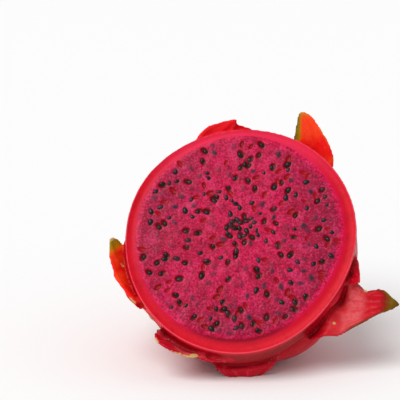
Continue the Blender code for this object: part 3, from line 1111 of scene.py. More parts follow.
@dataclass(frozen=True)
class FleshFinish:
    """The pulp: wet, granular and magenta, with sunk seeds and the dark red marks of lost ones."""

    bright: Colour = linear(198, 12, 72)
    middle: Colour = linear(172, 14, 58)
    dull: Colour = linear(98, 20, 46)
    granule: Colour = linear(218, 58, 110)
    dark_granule: Colour = linear(110, 2, 30)
    border: Colour = linear(202, 8, 66)
    socket: Colour = linear(92, 0, 10)
    socket_floor: Colour = linear(152, 0, 20)
    # Painted shade in the dip between flesh and wall
    seam: Colour = linear(112, 0, 14)
    ghost: Colour = linear(40, 32, 48)
    roughness: float = 0.36
    # Sizes of the patterns and depth of the relief
    cloud_size: float = 0.011
    grain_size: float = 0.00080
    coarse_size: float = 0.0028
    border_size: float = 0.0022
    cell_size: float = 0.0011
    relief: float = 0.00010

    def make(self) -> bpy.types.Material:
        """Builds the material.

        Returns:
            The finished material.
        """
        looks = Looks("flesh_pulp")
        cloud = looks.noise(self.cloud_size, 3.0, 0.6, 0.3)
        grain = looks.noise(self.grain_size, 2.0, 0.6)
        coarse = looks.noise(self.coarse_size, 3.0, 0.65)
        streak, socket = looks.attribute("streak"), looks.attribute("socket")
        dull = (looks.attribute("dull") + (cloud - 0.5) * 1.2 + (coarse - 0.5) * 0.8).clamped()
        border = looks.attribute("border") + (looks.noise(self.border_size, 3.0, 0.7) - 0.5) * 1.3
        colour = looks.layers(
            looks.mix(cloud.step(0.38, 0.62), self.middle, self.bright),
            (dull * 0.9, self.dull),
            (border.step(0.35, 0.95), self.border),
            (streak.step(0.1, 0.7) * 0.35, self.granule),
            (streak.step(-0.1, -0.7) * 0.40, self.dark_granule),
            (grain.step(0.50, 0.68) * 0.50, self.granule),
            (grain.step(0.50, 0.36) * 0.60, self.dark_granule),
            (coarse.step(0.48, 0.34) * 0.45, self.dark_granule),
            ((looks.attribute("ghost") * (coarse + 0.45)).clamped(), self.ghost),
            (socket.step(0.05, 0.40), looks.mix(socket.step(0.55, 0.90), self.socket_floor, self.socket)),
            # Painted shade in the dip between flesh and wall
            (looks.attribute("seam") * 0.85, self.seam),
        )
        looks.set(
            Base_Color=colour,
            Roughness=(self.roughness + (coarse - 0.5) * 0.3).clamped(),
            Subsurface_Weight=0.06,
            Subsurface_Radius=(1.0, 0.2, 0.3),
            Subsurface_Scale=0.0008,
            Specular_IOR_Level=0.14,
            Normal=looks.bump(grain * 0.7 + looks.cells(self.cell_size) * 0.5, self.relief, 0.5),
        )
        return looks.material


@dataclass(frozen=True)
class SeedFinish:
    """The seeds: wet black, some of them under a thin film of pulp."""

    black: Colour = linear(12, 8, 10)
    brown: Colour = linear(36, 14, 18)
    film: Colour = linear(62, 26, 40)
    roughness: float = 0.36
    # Sizes of the patterns and depth of the relief
    shade_size: float = 0.0022
    fine_size: float = 0.0003
    film_size: float = 0.0052
    relief: float = 0.00004

    def make(self) -> bpy.types.Material:
        """Builds the material.

        Returns:
            The finished material.
        """
        looks = Looks("seed_black")
        shade = looks.noise(self.shade_size, 2.0, 0.6)
        fine = looks.noise(self.fine_size, 2.0, 0.6)
        filmed = looks.noise(self.film_size, 1.0, 0.5).step(0.52, 0.60)
        colour = looks.mix(shade.step(0.45, 0.8), self.black, self.brown)
        looks.set(
            Base_Color=looks.mix(filmed * 0.8, colour, self.film),
            Roughness=(self.roughness + (fine - 0.5) * 0.25).clamped(),
            Coat_Weight=0.06,
            Coat_Roughness=0.20,
            Specular_IOR_Level=0.24,
            Normal=looks.bump(fine, self.relief, 0.4),
        )
        return looks.material


@dataclass(frozen=True)
class StubFinish:
    """The dry stub of the stem: beige wood with dark fibres."""

    wood: Colour = linear(168, 148, 108)
    fibre: Colour = linear(92, 72, 44)
    light: Colour = linear(206, 192, 156)
    roughness: float = 0.78
    grain_size: float = 0.0011
    patch_size: float = 0.004
    relief: float = 0.0003

    def make(self) -> bpy.types.Material:
        """Builds the material.

        Returns:
            The finished material.
        """
        looks = Looks("stub_wood")
        grain = looks.noise(self.grain_size, 3.0, 0.7, 0.5)
        patch = looks.noise(self.patch_size, 2.0, 0.6)
        colour = looks.mix(grain.step(0.35, 0.65), self.fibre, self.wood)
        colour = looks.mix(patch.step(0.5, 0.75), colour, self.light)
        looks.set(
            Base_Color=colour,
            Roughness=(self.roughness + (grain - 0.5) * 0.3).clamped(),
            Normal=looks.bump(grain, self.relief, 0.8),
        )
        return looks.material


# The pieces


class Slot(Enum):
    """The material slots."""

    PEEL = "peel"
    FLESH = "flesh"
    STEM = "stem"


def dress(mesh: Mesh, material: bpy.types.Material, sharp_degrees: float) -> None:
    """Gives a mesh its finish and smooth shading.

    Args:
        mesh: the mesh to dress.
        material: its finish.
        sharp_degrees: how sharp an edge has to be to stay an edge.
    """
    mesh.materials.clear()
    mesh.materials.append(material)
    mesh.shade_smooth()
    mesh.set_sharp_from_angle(angle=math.radians(sharp_degrees))


def place_piece(name: str, mesh: Mesh, slot: Slot, *nodes: str) -> Object:
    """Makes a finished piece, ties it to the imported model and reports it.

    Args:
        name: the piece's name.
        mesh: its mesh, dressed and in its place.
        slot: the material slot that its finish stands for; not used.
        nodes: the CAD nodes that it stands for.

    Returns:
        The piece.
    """
    piece = linked_object(name, mesh)
    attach(piece, BODY)
    if nodes:
        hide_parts(*nodes)
    triangles = sum(len(face.vertices) - 2 for face in mesh.polygons)
    log.info("%s: %d vertices, %d triangles", name, len(mesh.vertices), triangles)
    return piece


@dataclass
class Peel:
    """The rind with its leafy scales, cut across, hollow for the flesh and flat where it lies."""

    form: FruitForm
    blades: BladeForm
    place: Matrix
    finish: SkinFinish
    segments: int = 300
    rings: int = 130
    voxel: float = 0.00062
    relax_rounds: int = 6
    relax_push: float = 0.5
    relax_pull: float = 0.52
    sharp_degrees: float = 60.0
    # The cut face, which keeps its plane, and the sway and the wrinkles of the skin behind it
    cap_reach: Span = (-0.0006, -0.0001)
    cap_facing: Span = (0.3, 0.9)
    sway: float = 0.00045
    sway_size: float = 0.016
    sway_start: Span = (0.0, 0.006)
    wrinkle: float = 0.00010
    wrinkle_size: float = 0.0030
    # The groove under the lower rim: its height, width and depth behind the face, how it winds, and its run
    groove_height: float = 0.0015
    groove_width: float = 0.0012
    groove_depth: float = 0.0100
    groove_wind: float = 0.0012
    groove_middle: float = math.radians(262.0)
    groove_ends: Span = (0.62, 0.87)
    # The dent at the lower left: its direction and spread, its depth, and where it begins and ends
    dent_middle: float = math.radians(-137.0)
    dent_spread: float = math.radians(13.0)
    dent_depth: float = 0.0022
    dent_rise: Span = (0.0, 0.006)
    dent_fall: Span = (0.016, 0.036)
    off_skin: Span = (0.0008, 0.0024)
    # The room for the flesh and the socket of the stub
    hollow_latitude: float = math.radians(12.0)
    hollow_segments: int = 120
    hollow_rings: int = 40
    socket_segments: int = 48
    socket_radius: float = 0.0049
    socket_start: float = 0.0627
    socket_end: float = 0.0760
    least_edge: float = 0.000005
    # Where the colours begin and end, as shares of a scale's length or half width, or as lengths
    attribute_rounds: int = 10
    own_unit: float = 60.0
    tip_span: Span = (-0.02, 0.30)
    side_margin: Span = (0.75, 0.98)
    side_start: Span = (0.35, 0.65)
    side_green: float = 0.55
    side_dry: float = 0.75
    strip_start: Span = (0.25, 0.5)
    strip_green: float = 0.75
    least_strip: float = 0.01
    root_end: Span = (0.02, 0.10)
    # Painted shade under the lower rim: how far the skin faces down, how low it lies, how far behind the face
    # it reaches, and how dark it gets
    under_facing: Span = (0.15, 0.75)
    under_low: Span = (0.60, 0.85)
    under_end: Span = (0.005, 0.016)
    under_shade: float = 0.85
    warm_start: Span = (0.04, 0.26)
    dry_tip: Span = (0.90, 1.0)
    fleck_strength: float = 0.62
    fleck_edge: Span = (0.4, 1.4)
    pale_rise: Span = (0.38, 0.56)
    pale_fall: Span = (0.60, 0.70)
    vein_start: Span = (0.10, 0.35)
    front_end: Span = (0.014, 0.040)
    # Painted shade in the creases: how the peel is smoothed to find them, and the depth that gives full shade
    crease_rounds: int = 30
    crease_push: float = 0.7
    crease_depth: float = 0.0008
    cut_start: Span = (-0.0013, -0.0008)
    cut_edge: Span = (1.0, 1.12)
    # Painted light towards the top: the height on the face and the depth over which it comes in, and the
    # share of a scale's length from which it shows
    top_light_height: Span = (0.018, 0.042)
    top_light_depth: Span = (-0.020, -0.008)
    top_light_start: Span = (0.10, 0.30)
    flecks: tuple[Fleck, ...] = FLECKS

    def skin_points(self) -> tuple[Array, Array]:
        """The skin from the cut face to the stem end.

        Returns:
            Its rings of points, and the point at the stem end.
        """
        latitude = np.linspace(self.form.face_latitude(), -math.pi / 2, self.rings + 1)[:-1]
        rings = self.form.skin(*np.meshgrid(latitude, directions(self.segments), indexing="ij")[::-1])
        rings[0, :, 2] = 0.0
        return rings, np.array([0.0, 0.0, -self.form.stem_depth])

    def raw(self) -> Mesh:
        """Skin and scales as overlapping closed meshes.

        Returns:
            One mesh of them all.
        """
        rings, pole = self.skin_points()
        mesh = bpy.data.meshes.new("peel_raw")
        with edited(mesh) as shape:
            shape.from_mesh(closed_grid("skin", rings, np.zeros(3), pole))
            for scale in self.form.scales + self.form.folds:
                shape.from_mesh(self.blades.mesh(scale))
        return mesh

    def fused(self) -> Mesh:
        """Skin and scales grown together, with soft joints and edges.

        Returns:
            One closed mesh.
        """
        source = linked_object("peel_source", self.raw())
        remesh = source.modifiers.new("grow_together", "REMESH")
        remesh.mode = "VOXEL"
        remesh.voxel_size = self.voxel
        mesh = evaluated_mesh(source)
        bpy.data.objects.remove(source)
        places = relaxed(
            vertex_places(mesh), edge_ends(mesh), self.relax_rounds, self.relax_push, self.relax_pull
        )
        set_places(mesh, places)
        return mesh

    def modelled(self, mesh: Mesh) -> None:
        """Gives the grown peel its sway, its wrinkles and the soft face of its cut.

        Args:
            mesh: the peel, in the fruit's frame, which is changed.
        """
        places, out = vertex_places(mesh), vertex_directions(mesh)
        on_cut = smoothstep(places[:, 2], *self.cap_reach) * smoothstep(out[:, 2], *self.cap_facing)
        sway = self.sway * noise_field(places, self.sway_size, 7.0)
        wrinkle = self.wrinkle * noise_field(places, self.wrinkle_size, 11.0)
        wrinkle = wrinkle - self.groove(places) - self.dent(places)
        lift = (sway * smoothstep(-places[:, 2], *self.sway_start) + wrinkle) * (1.0 - on_cut)
        places = places + out * lift[:, None]
        places[:, 2] += self.form.cut_height(places) * on_cut
        set_places(mesh, places)

    def on_skin(self, places: Array) -> Array:
        """Tells the skin from the scales.

        Args:
            places: points of the peel.

        Returns:
            1 on the skin, 0 on what stands off it, at each.
        """
        azimuth, radius = polar(places)
        depth = -places[:, 2]
        skin = self.form.section_radius(azimuth) * self.form.girth(depth) + self.form.swelling(azimuth, depth)
        return 1.0 - smoothstep(radius - skin, *self.off_skin)

    def dent(self, places: Array) -> Array:
        """Depth of the shallow hollow in the skin between the two scales at the lower left."""
        dent = self.dent_depth * bell(short_turn(polar(places)[0] - self.dent_middle), 0.0, self.dent_spread)
        return dent * window(-places[:, 2], self.dent_rise, self.dent_fall) * self.on_skin(places)

    def groove(self, places: Array) -> Array:
        """The groove in the skin that runs a short way under the lower rim, in front of the scales.

        Args:
            places: points of the peel.

        Returns:
            How deep it is at each.
        """
        azimuth = polar(places)[0]
        lowest = self.groove_depth + self.groove_wind * np.sin(3.0 * azimuth + 0.4)
        along = smoothstep(np.cos(azimuth - self.groove_middle), *self.groove_ends)
        run = bell(-places[:, 2], lowest, self.groove_width) * along
        return self.groove_height * run * self.on_skin(places)

    def hollowed(self, mesh: Mesh) -> Mesh:
        """Takes out the room for the flesh and the socket of the stub.

        Args:
            mesh: the peel, in the fruit's frame.

        Returns:
            The hollow peel.
        """
        latitude = np.linspace(self.hollow_latitude, -math.pi / 2, self.hollow_rings + 1)[:-1]
        rings = self.form.inner(*np.meshgrid(latitude, directions(self.hollow_segments), indexing="ij")[::-1])
        pole = np.array([0.0, 0.0, self.form.wall_at_stem - self.form.stem_depth])
        angles = directions(self.socket_segments)
        circle = about_axis(self.socket_radius * np.ones_like(angles), angles, np.zeros_like(angles))
        ends = [np.array([0.0, 0.0, -depth]) for depth in (self.socket_start, self.socket_end)]
        shapes = (
            closed_grid("hollow", rings, rings[0].mean(axis=0), pole),
            closed_grid("socket", np.stack([circle + end for end in ends]), *ends),
        )
        peel = linked_object("peel_work", mesh)
        cutters = [linked_object(shape.name, shape) for shape in shapes]
        for cutter in cutters:
            modifier = peel.modifiers.new(cutter.name, "BOOLEAN")
            modifier.operation = "DIFFERENCE"
            modifier.solver = "MANIFOLD"
            modifier.object = cutter
        made = evaluated_mesh(peel)
        for used in (peel, *cutters):
            bpy.data.objects.remove(used)
        without_specks(made, self.least_edge)
        return made

    def known(self, places: Array, ends: Array) -> Array:
        """What the nearest known point of skin or scale says of each vertex, smoothed over the mesh.

        Args:
            places: the vertices.
            ends: the two vertices of each edge.

        Returns:
            A row for the share along a scale, the place across it, a number of the scale's own, and each
            field of its Tone. Skin has zeros.
        """
        skin = self.skin_points()[0].reshape(-1, 3)
        points = [skin]
        facts = [np.zeros((len(skin), 3 + len(astuple(Tone()))))]
        for scale in self.form.scales + self.form.folds:
            along, around, blade = self.blades.grid(scale)
            own = np.tile((scale.azimuth / self.own_unit, *astuple(scale.tone)), (along.size, 1))
            points.append(blade.reshape(-1, 3))
            facts.append(np.column_stack([along.ravel(), np.cos(around).ravel(), own]))
        tree = KDTree(sum(map(len, points)))
        for index, point in enumerate(np.vstack(points)):
            tree.insert(point, index)
        tree.balance()
        nearest = np.array([tree.find(place)[1] for place in places])
        return relaxed(np.vstack(facts)[nearest], ends, self.attribute_rounds).T

    @staticmethod
    def veins(across: Array, own: Array) -> Array:
        """Fine streaks along the scales, from about -1 to 1, shifted by a number of the scale's own."""
        broad = np.sin(15.0 * across + 5.0 * own)
        return 0.5 * broad + 0.5 * np.sin(41.0 * across + 9.0 * own + 1.5 * broad)

    def flecked(self, places: Array) -> Array:
        """How strongly the dried flecks show.

        Args:
            places: points of the peel.

        Returns:
            Their strength at each.
        """
        strength = np.zeros(len(places))
        for fleck in self.flecks:
            angle = np.array([math.tau - math.acos(fleck.across)])
            middle = self.blades.places(fleck.scale, np.array([fleck.along]), angle)[0]
            away = np.linalg.norm(places - middle, axis=1) / fleck.size
            shown = self.fleck_strength * (1.0 - smoothstep(away, *self.fleck_edge))
            strength = np.maximum(strength, shown)
        return strength

    def painted(self, mesh: Mesh) -> None:
        """Keeps on the mesh the numbers that its material reads.

        Args:
            mesh: the hollow peel, in the fruit's frame.
        """
        places, out, ends = vertex_places(mesh), vertex_directions(mesh), edge_ends(mesh)
        along, turned, own, green, green_from, fresh, warm, dry, pale, shade, strip = self.known(places, ends)
        height, depth = places[:, 2], -places[:, 2]
        tip = smoothstep(along - green_from, *self.tip_span)
        side = smoothstep(np.abs(turned), *self.side_margin) * smoothstep(along, *self.side_start)
        width = np.maximum(np.abs(strip), self.least_strip)
        striped = smoothstep(turned * np.sign(strip), 1.0 - 3.0 * width, 1.0 - width)
        striped = striped * smoothstep(along, *self.strip_start) * (np.abs(strip) > self.least_strip)
        # Painted shade under the lower rim: skin that faces down, low on the fruit and near the cut face,
        # darkened as if in shadow
        facing_down_shade = smoothstep(-out[:, 1], *self.under_facing) * (1.0 - smoothstep(along, *self.root_end))
        under = facing_down_shade * smoothstep(lowness(places), *self.under_low)
        under = under * (1.0 - smoothstep(depth, *self.under_end))
        dried = dry * np.clip(self.side_dry * side + smoothstep(along, *self.dry_tip), 0.0, 1.0)
        broad = relaxed(places, ends, self.crease_rounds, self.crease_push)
        share = self.form.wall_share(places)
        cut = smoothstep(height, *self.cut_start) * (1.0 - smoothstep(share, *self.cut_edge))
        # Painted light: brighter towards the top of the cut face and of the scales beside it
        glow = smoothstep(places[:, 1], *self.top_light_height) * smoothstep(height, *self.top_light_depth)
        values = {
            "green": green * np.clip(tip + self.side_green * side + self.strip_green * striped, 0.0, 1.0),
            "fresh": fresh,
            "shade": np.maximum(shade, self.under_shade * under),
            "warm": warm * smoothstep(along, *self.warm_start),
            "dry": np.maximum(dried, self.flecked(places)),
            "pale": pale * window(along, self.pale_rise, self.pale_fall),
            "vein": self.veins(turned, own) * smoothstep(along, *self.vein_start),
            "front": 1.0 - smoothstep(depth, *self.front_end),
            # Painted shade in the creases: how far each vertex lies below the smoothed peel
            "crease": np.clip(np.sum((broad - places) * out, axis=1) / self.crease_depth, 0.0, 1.0),
            "wall": np.clip(share, 0.0, 1.0),
            "cut": cut,
            "glow": glow * np.maximum(cut, smoothstep(along, *self.top_light_start)),
            # Painted shade in the dip between flesh and wall
            "seam": self.form.seam(places),
        }
        for name, row in values.items():
            store(mesh, name, row)

    def build(self) -> Object:
        """Makes the peel.

        Returns:
            The finished piece.
        """
        mesh = self.fused()
        self.modelled(mesh)
        mesh = self.hollowed(mesh)
        self.painted(mesh)
        mesh.transform(self.place)
        places = vertex_places(mesh)
        places[:, 2] = np.maximum(places[:, 2], 0.0)
        set_places(mesh, places)
        dress(mesh, self.finish.make(), self.sharp_degrees)
        return place_piece("peel_skin", mesh, Slot.PEEL, "peel")


class SeedKind(Enum):
    """What shows of a seed in the cut face."""

    BLACK = "black"
    SUNK = "sunk"
    LOST = "lost"


@dataclass(frozen=True)
class SeedSpot:
    """One seed of the cut face, or the mark of one."""

    middle: tuple[float, float]
    heading: float
    size: float
    kind: SeedKind
    lean: float


@dataclass
class SeedField:
    """Where the seeds lie: close round the middle, loose outside it."""

    form: FruitForm
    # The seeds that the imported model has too
    draw_seed: int = 11
    spacing: float = 0.0034
    core_spacing: float = 0.0021
    core_share: float = 0.14
    core_radius: float = 0.0075
    core_middle: tuple[float, float] = (-0.001, 0.004)
    margin: float = 0.0030
    turn: float = 0.8
    sizes: Span = (0.85, 1.1)
    count: int = 150
    tries: int = 6000
    # Which of them lie under the surface
    look_seed: int = 23
    sunk_share: float = 0.32
    core_sunk_share: float = 0.1
    # Black seeds drawn beside others, those of the heart among them
    paired: int = 40
    heart: int = 7
    heart_radius: float = 0.0046
    heart_spacing: float = 0.0017
    pair_reach: Span = (0.0021, 0.0042)
    pair_spacing: float = 0.0020
    pair_margin: float = 0.8
    pair_turn: float = 0.9
    pair_sizes: Span = (0.78, 1.02)
    # Sunk seeds and marks of lost ones between them
    extra_sunk: int = 34
    lost: int = 52
    extra_spacing: float = 0.0021
    extra_margin: float = 0.6
    extra_turn: float = 0.7
    extra_sizes: Span = (0.7, 1.05)

    @staticmethod
    def at(azimuth: float, distance: float) -> Vector:
        """The place in a direction and at a distance from the middle."""
        return Vector((distance * math.cos(azimuth), distance * math.sin(azimuth)))

    @staticmethod
    def free(middle: Vector, middles: Sequence[Vector], spacing: float) -> bool:
        """Whether a place is farther than a spacing from all others."""
        return all((middle - other).length > spacing for other in middles)

    def room(self, azimuth: float, margins: float = 1.0) -> float:
        """How far out a seed may lie in a direction, so many margins inside the wall."""
        return float(self.form.inner_radius(azimuth)) - margins * self.margin

    @staticmethod
    def spot(
        look: random.Random, middle: Vector, azimuth: float, turn: float, sizes: Span, kind: SeedKind
    ) -> SeedSpot:
        """Draws a seed or mark at a place: how it turns off its direction, its size and its lean."""
        heading = azimuth + look.gauss(0.0, turn)
        return SeedSpot(tuple(middle), heading, look.uniform(*sizes), kind, look.uniform(0.0, math.tau))

    def shared(self) -> list[tuple[Vector, float, float]]:
        """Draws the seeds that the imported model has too.

        Returns:
            The place, heading and size of each.
        """
        draw = random.Random(self.draw_seed)
        rows: list[tuple[Vector, float, float]] = []
        for _ in range(self.tries):
            if len(rows) == self.count:
                break
            azimuth = draw.uniform(0.0, math.tau)
            room = self.room(azimuth)
            core = draw.random() < self.core_share
            middle = self.at(azimuth, (self.core_radius if core else room) * math.sqrt(draw.random()))
            if core:
                middle += Vector(self.core_middle)
            heading = azimuth + draw.gauss(0.0, self.turn)
            size = draw.uniform(*self.sizes)
            if self.free(middle, [row[0] for row in rows], self.core_spacing if core else self.spacing):
                rows.append((middle, heading, size))
        return rows

    def beside(self, look: random.Random, middles: list[Vector]) -> list[SeedSpot]:
        """Draws more black seeds, close to one another in the heart and beside others outside it.

        Args:
            look: where the draws come from.
            middles: the seeds so far, to which the new ones are added.

        Returns:
            The new seeds.
        """
        made: list[SeedSpot] = []
        for _ in range(self.tries):
            if len(made) == self.heart + self.paired:
                break
            in_heart = len(made) < self.heart
            turn = look.uniform(0.0, math.tau)
            start = Vector(self.core_middle) if in_heart else look.choice(middles)
            if in_heart:
                reach = self.heart_radius * math.sqrt(look.random())
            else:
                reach = look.uniform(*self.pair_reach)
            middle = start + self.at(turn, reach)
            azimuth = math.atan2(middle.y, middle.x)
            spacing = self.heart_spacing if in_heart else self.pair_spacing
            inside = middle.length <= self.room(azimuth, self.pair_margin)
            if inside and self.free(middle, middles, spacing):
                middles.append(middle)
                kind = SeedKind.BLACK
                made.append(self.spot(look, middle, azimuth, self.pair_turn, self.pair_sizes, kind))
        return made

    def between(self, look: random.Random, middles: list[Vector]) -> list[SeedSpot]:
        """Draws more sunk seeds and the marks of lost ones, where there is room.

        Args:
            look: where the draws come from.
            middles: the seeds so far, to which the new ones are added.

        Returns:
            The new seeds and marks.
        """
        made: list[SeedSpot] = []
        wanted = [SeedKind.SUNK] * self.extra_sunk + [SeedKind.LOST] * self.lost
        for _ in range(self.tries):
            if not wanted:
                break
            azimuth = look.uniform(0.0, math.tau)
            middle = self.at(azimuth, self.room(azimuth, self.extra_margin) * math.sqrt(look.random()))
            if self.free(middle, middles, self.extra_spacing):
                middles.append(middle)
                kind = wanted.pop()
                made.append(self.spot(look, middle, azimuth, self.extra_turn, self.extra_sizes, kind))
        return made

    def spots(self) -> list[SeedSpot]:
        """Draws all seeds and marks.

        Returns:
            The shared seeds, those beside them, and those between.
        """
        rows = self.shared()
        look = random.Random(self.look_seed)
        made = []
        for middle, heading, size in rows:
            core = (middle - Vector(self.core_middle)).length < self.core_radius
            sunk = look.random() < (self.core_sunk_share if core else self.sunk_share)
            kind = SeedKind.SUNK if sunk else SeedKind.BLACK
            made.append(SeedSpot(tuple(middle), heading, size, kind, look.uniform(0.0, math.tau)))
        middles = [row[0] for row in rows]
        return made + self.beside(look, middles) + self.between(look, middles)


@dataclass
class Flesh:
    """The pulp that fills the peel, with its granular cut face."""

    form: FruitForm
    spots: Sequence[SeedSpot]
    place: Matrix
    finish: FleshFinish
    seed_length: float = 0.0029
    seed_width: float = 0.0020
    cells: int = 256
    bowl_rings: int = 9
    bowl_gap: float = 0.0001
    sharp_degrees: float = 70.0
    tuck: float = 0.00004
    sink: float = 0.00003
    # The grain: two sizes of hills, from nothing at the border on, and rougher along the lower border
    grain: float = 0.00005
    grain_size: float = 0.00090
    lump: float = 0.00012
    lump_size: float = 0.0038
    grain_start: Span = (0.0, 0.0012)
    rough_at: Span = (0.0016, 0.0014)
    rough_low: Span = (0.022, 0.036)
    rough_gain: float = 2.2
    # How far from a seed its mark reaches at most
    mark_reach: float = 0.004
    # A sunk seed: its strength, the edge of its shadow, and how far it lifts the pulp
    ghost_strength: Span = (0.62, 0.38)
    ghost_edge: Span = (0.45, 1.45)
    ghost_lift: float = 0.00008
    # A lost seed: the size of its socket beside a seed's, the ring round it, its floor, and its depth
    socket_stretch: Span = (1.15, 0.92)
    ring_at: Span = (0.85, 0.28)
    ring_strength: Span = (0.7, 0.3)
    floor_strength: float = 0.55
    floor_edge: Span = (0.8, 1.2)
    socket_depth: float = 0.00042
    socket_spread: float = 0.85
    # A black seed: the dark red pit that shows on one side of it, how many lack one, and its depth
    halo_shift: float = 0.00062
    halo_edge: Span = (1.00, 1.38)
    halo_least: float = -0.35
    halo_depth: float = 0.00030
    seed_depth: float = 0.00010
    pit_spread: float = 1.15
    # The duller sides of the face: direction, where each begins and ends, and strength
    dull_sides: tuple[tuple[Span, Span, float], ...] = (
        ((1.0, 0.0), (0.008, 0.034), 0.65),
        ((0.0, -1.0), (0.018, 0.034), 0.55),
        ((-1.0, 0.4), (0.018, 0.036), 0.5),
    )
    dull_least: float = 0.1
    border_end: Span = (0.0002, 0.0036)
    streak_turn: float = 9.0
    streak_length: float = 0.010
    streak_start: Span = (0.004, 0.012)

    def disc(self) -> tuple[Array, Array]:
        """An even grid over the cut face.

        Returns:
            The share of the way out, and the direction, of each point, as row and column.
        """
        steps = np.linspace(-1.0, 1.0, self.cells + 1)
        a, b = np.meshgrid(steps, steps, indexing="ij")
        wide = np.abs(a) > np.abs(b)
        safe_a, safe_b = np.where(a == 0, 1.0, a), np.where(b == 0, 1.0, b)
        turn = np.where(wide, math.pi / 4 * b / safe_a, math.pi / 2 - math.pi / 4 * a / safe_b)
        out = np.where(wide, a, b)
        turn = np.where((a == 0) & (b == 0), 0.0, turn)
        return np.abs(out), np.where(out < 0, turn + math.pi, turn)

    def border_loop(self) -> list[int]:
        """The grid's outermost points in order.

        Returns:
            Their indices.
        """
        side, last = self.cells + 1, self.cells
        loop = [row * side for row in range(last)]
        loop += [last * side + column for column in range(last)]
        loop += [row * side + last for row in range(last, 0, -1)]
        loop += [column for column in range(last, 0, -1)]
        return loop

    def marks(self, places: Array) -> tuple[Array, Array, Array]:
        """How each point of the cut face is touched by the seeds.

        Args:
            places: the points.

        Returns:
            The strength of the dark red sockets, of the seeds that show through, and the dip of the surface.
        """
        socket, ghost, dip = (np.zeros(len(places)) for _ in range(3))
        for spot in self.spots:
            away = places[:, :2] - spot.middle
            near = np.flatnonzero(np.abs(away).max(axis=1) < self.mark_reach)
            local = away[near]
            ahead = np.array([math.cos(spot.heading), math.sin(spot.heading)])
            aside = np.array([-ahead[1], ahead[0]])
            half_length, half_width = spot.size * self.seed_length / 2, spot.size * self.seed_width / 2
            oval = np.hypot(local @ ahead / half_length, local @ aside / half_width)
            if spot.kind is SeedKind.SUNK:
                strength = self.ghost_strength[0] + self.ghost_strength[1] * math.sin(7.0 * spot.lean)
                shown = strength * (1.0 - smoothstep(oval, *self.ghost_edge))
                ghost[near] = np.maximum(ghost[near], shown)
                dip[near] += self.ghost_lift * bell(oval, 0.0, 1.0)
            elif spot.kind is SeedKind.LOST:
                longer, wider = self.socket_stretch
                oval = np.hypot(local @ ahead / (longer * half_length), local @ aside / (wider * half_width))
                strength = self.ring_strength[0] + self.ring_strength[1] * math.sin(3.0 * spot.lean)
                ring = bell(oval, *self.ring_at) * strength
                filled = self.floor_strength * (1.0 - smoothstep(oval, *self.floor_edge))
                socket[near] = np.maximum(socket[near], np.maximum(ring, filled))
                dip[near] -= self.socket_depth * bell(oval, 0.0, self.socket_spread, 4)
            else:
                shifted = local - self.halo_shift * np.array([math.cos(spot.lean), math.sin(spot.lean)])
                halo = np.hypot(shifted @ ahead / half_length, shifted @ aside / half_width)
                strength = 1.0 * (math.sin(5.0 * spot.lean) > self.halo_least)
                shown = strength * (1.0 - smoothstep(halo, *self.halo_edge))
                socket[near] = np.maximum(socket[near], shown)
                pit = self.halo_depth * bell(halo, 0.0, self.pit_spread, 4) * strength
                dip[near] -= pit + self.seed_depth * bell(oval, 0.0, self.pit_spread, 4)
        return socket, ghost, dip

    def relief(self, top: Array, inside: Array, dip: Array) -> Array:
        """Height of the cut face.

        Args:
            top: its points, flat.
            inside: how far each lies inside the border.
            dip: how far the seeds lift or sink it.

        Returns:
            The height of each point.
        """
        grain = self.grain * noise_field(top, self.grain_size, 5.0)
        grain = grain + self.lump * noise_field(top, self.lump_size, 9.0)
        rough = bell(inside, *self.rough_at) * smoothstep(-top[:, 1], *self.rough_low)
        grain = grain * (1.0 + self.rough_gain * rough)
        return self.form.cut_height(top) + (grain + dip) * smoothstep(inside, *self.grain_start) - self.sink

    def shades(self, top: Array, azimuth: Array, reach: Array, inside: Array) -> dict[str, Array]:
        """The numbers for the material that don't come from the seeds.

        Args:
            top: the points of the cut face.
            azimuth: the direction of each.
            reach: the distance of each from the middle.
            inside: how far each lies inside the border.

        Returns:
            The name of each attribute and its numbers.
        """
        dull = sum(
            smoothstep(x * top[:, 0] + y * top[:, 1], *span) * strength
            for (x, y), span, strength in self.dull_sides
        )
        turned = self.streak_turn * np.stack([np.cos(azimuth), np.sin(azimuth)])
        streak = noise_field(np.stack([*turned, reach / self.streak_length], axis=-1), 1.0, 2.0)
        return {
            "dull": np.clip(dull - self.dull_least, 0.0, 1.0),
            "border": 1.0 - smoothstep(inside, *self.border_end),
            "streak": streak * smoothstep(reach, *self.streak_start),
            # Painted shade in the dip between flesh and wall
            "seam": self.form.seam(top),
        }

    def closed(self, top: Array, azimuth: Array) -> Mesh:
        """The cut face with the bowl under it.

        Args:
            top: the points of the cut face.
            azimuth: the direction of each.

        Returns:
            A closed mesh that begins with the points of the cut face.
        """
        side = self.cells + 1
        corners = [row * side + column for row in range(self.cells) for column in range(self.cells)]
        faces = [(corner, corner + side, corner + side + 1, corner + 1) for corner in corners]
        loop = self.border_loop()
        around = len(loop)
        latitudes = np.linspace(self.form.face_latitude(), -math.pi / 2, self.bowl_rings + 2)[1:-1]
        rings = [
            self.form.inner(azimuth[loop], np.full(around, latitude), self.bowl_gap) for latitude in latitudes
        ]
        pole = [[0.0, 0.0, self.form.wall_at_stem - self.form.stem_depth + self.bowl_gap]]
        points = np.vstack([top, *rings, pole])
        last = len(points) - 1
        loops = [loop] + [list(range(start, start + around)) for start in range(len(top), last, around)]
        for upper, lower in zip(loops, loops[1:]):
            for step in range(around):
                beside = (step + 1) % around
                faces.append((upper[step], upper[beside], lower[beside], lower[step]))
        faces += [(loops[-1][step], loops[-1][(step + 1) % around], last) for step in range(around)]
        return mesh_from("flesh_pulp", points, faces)

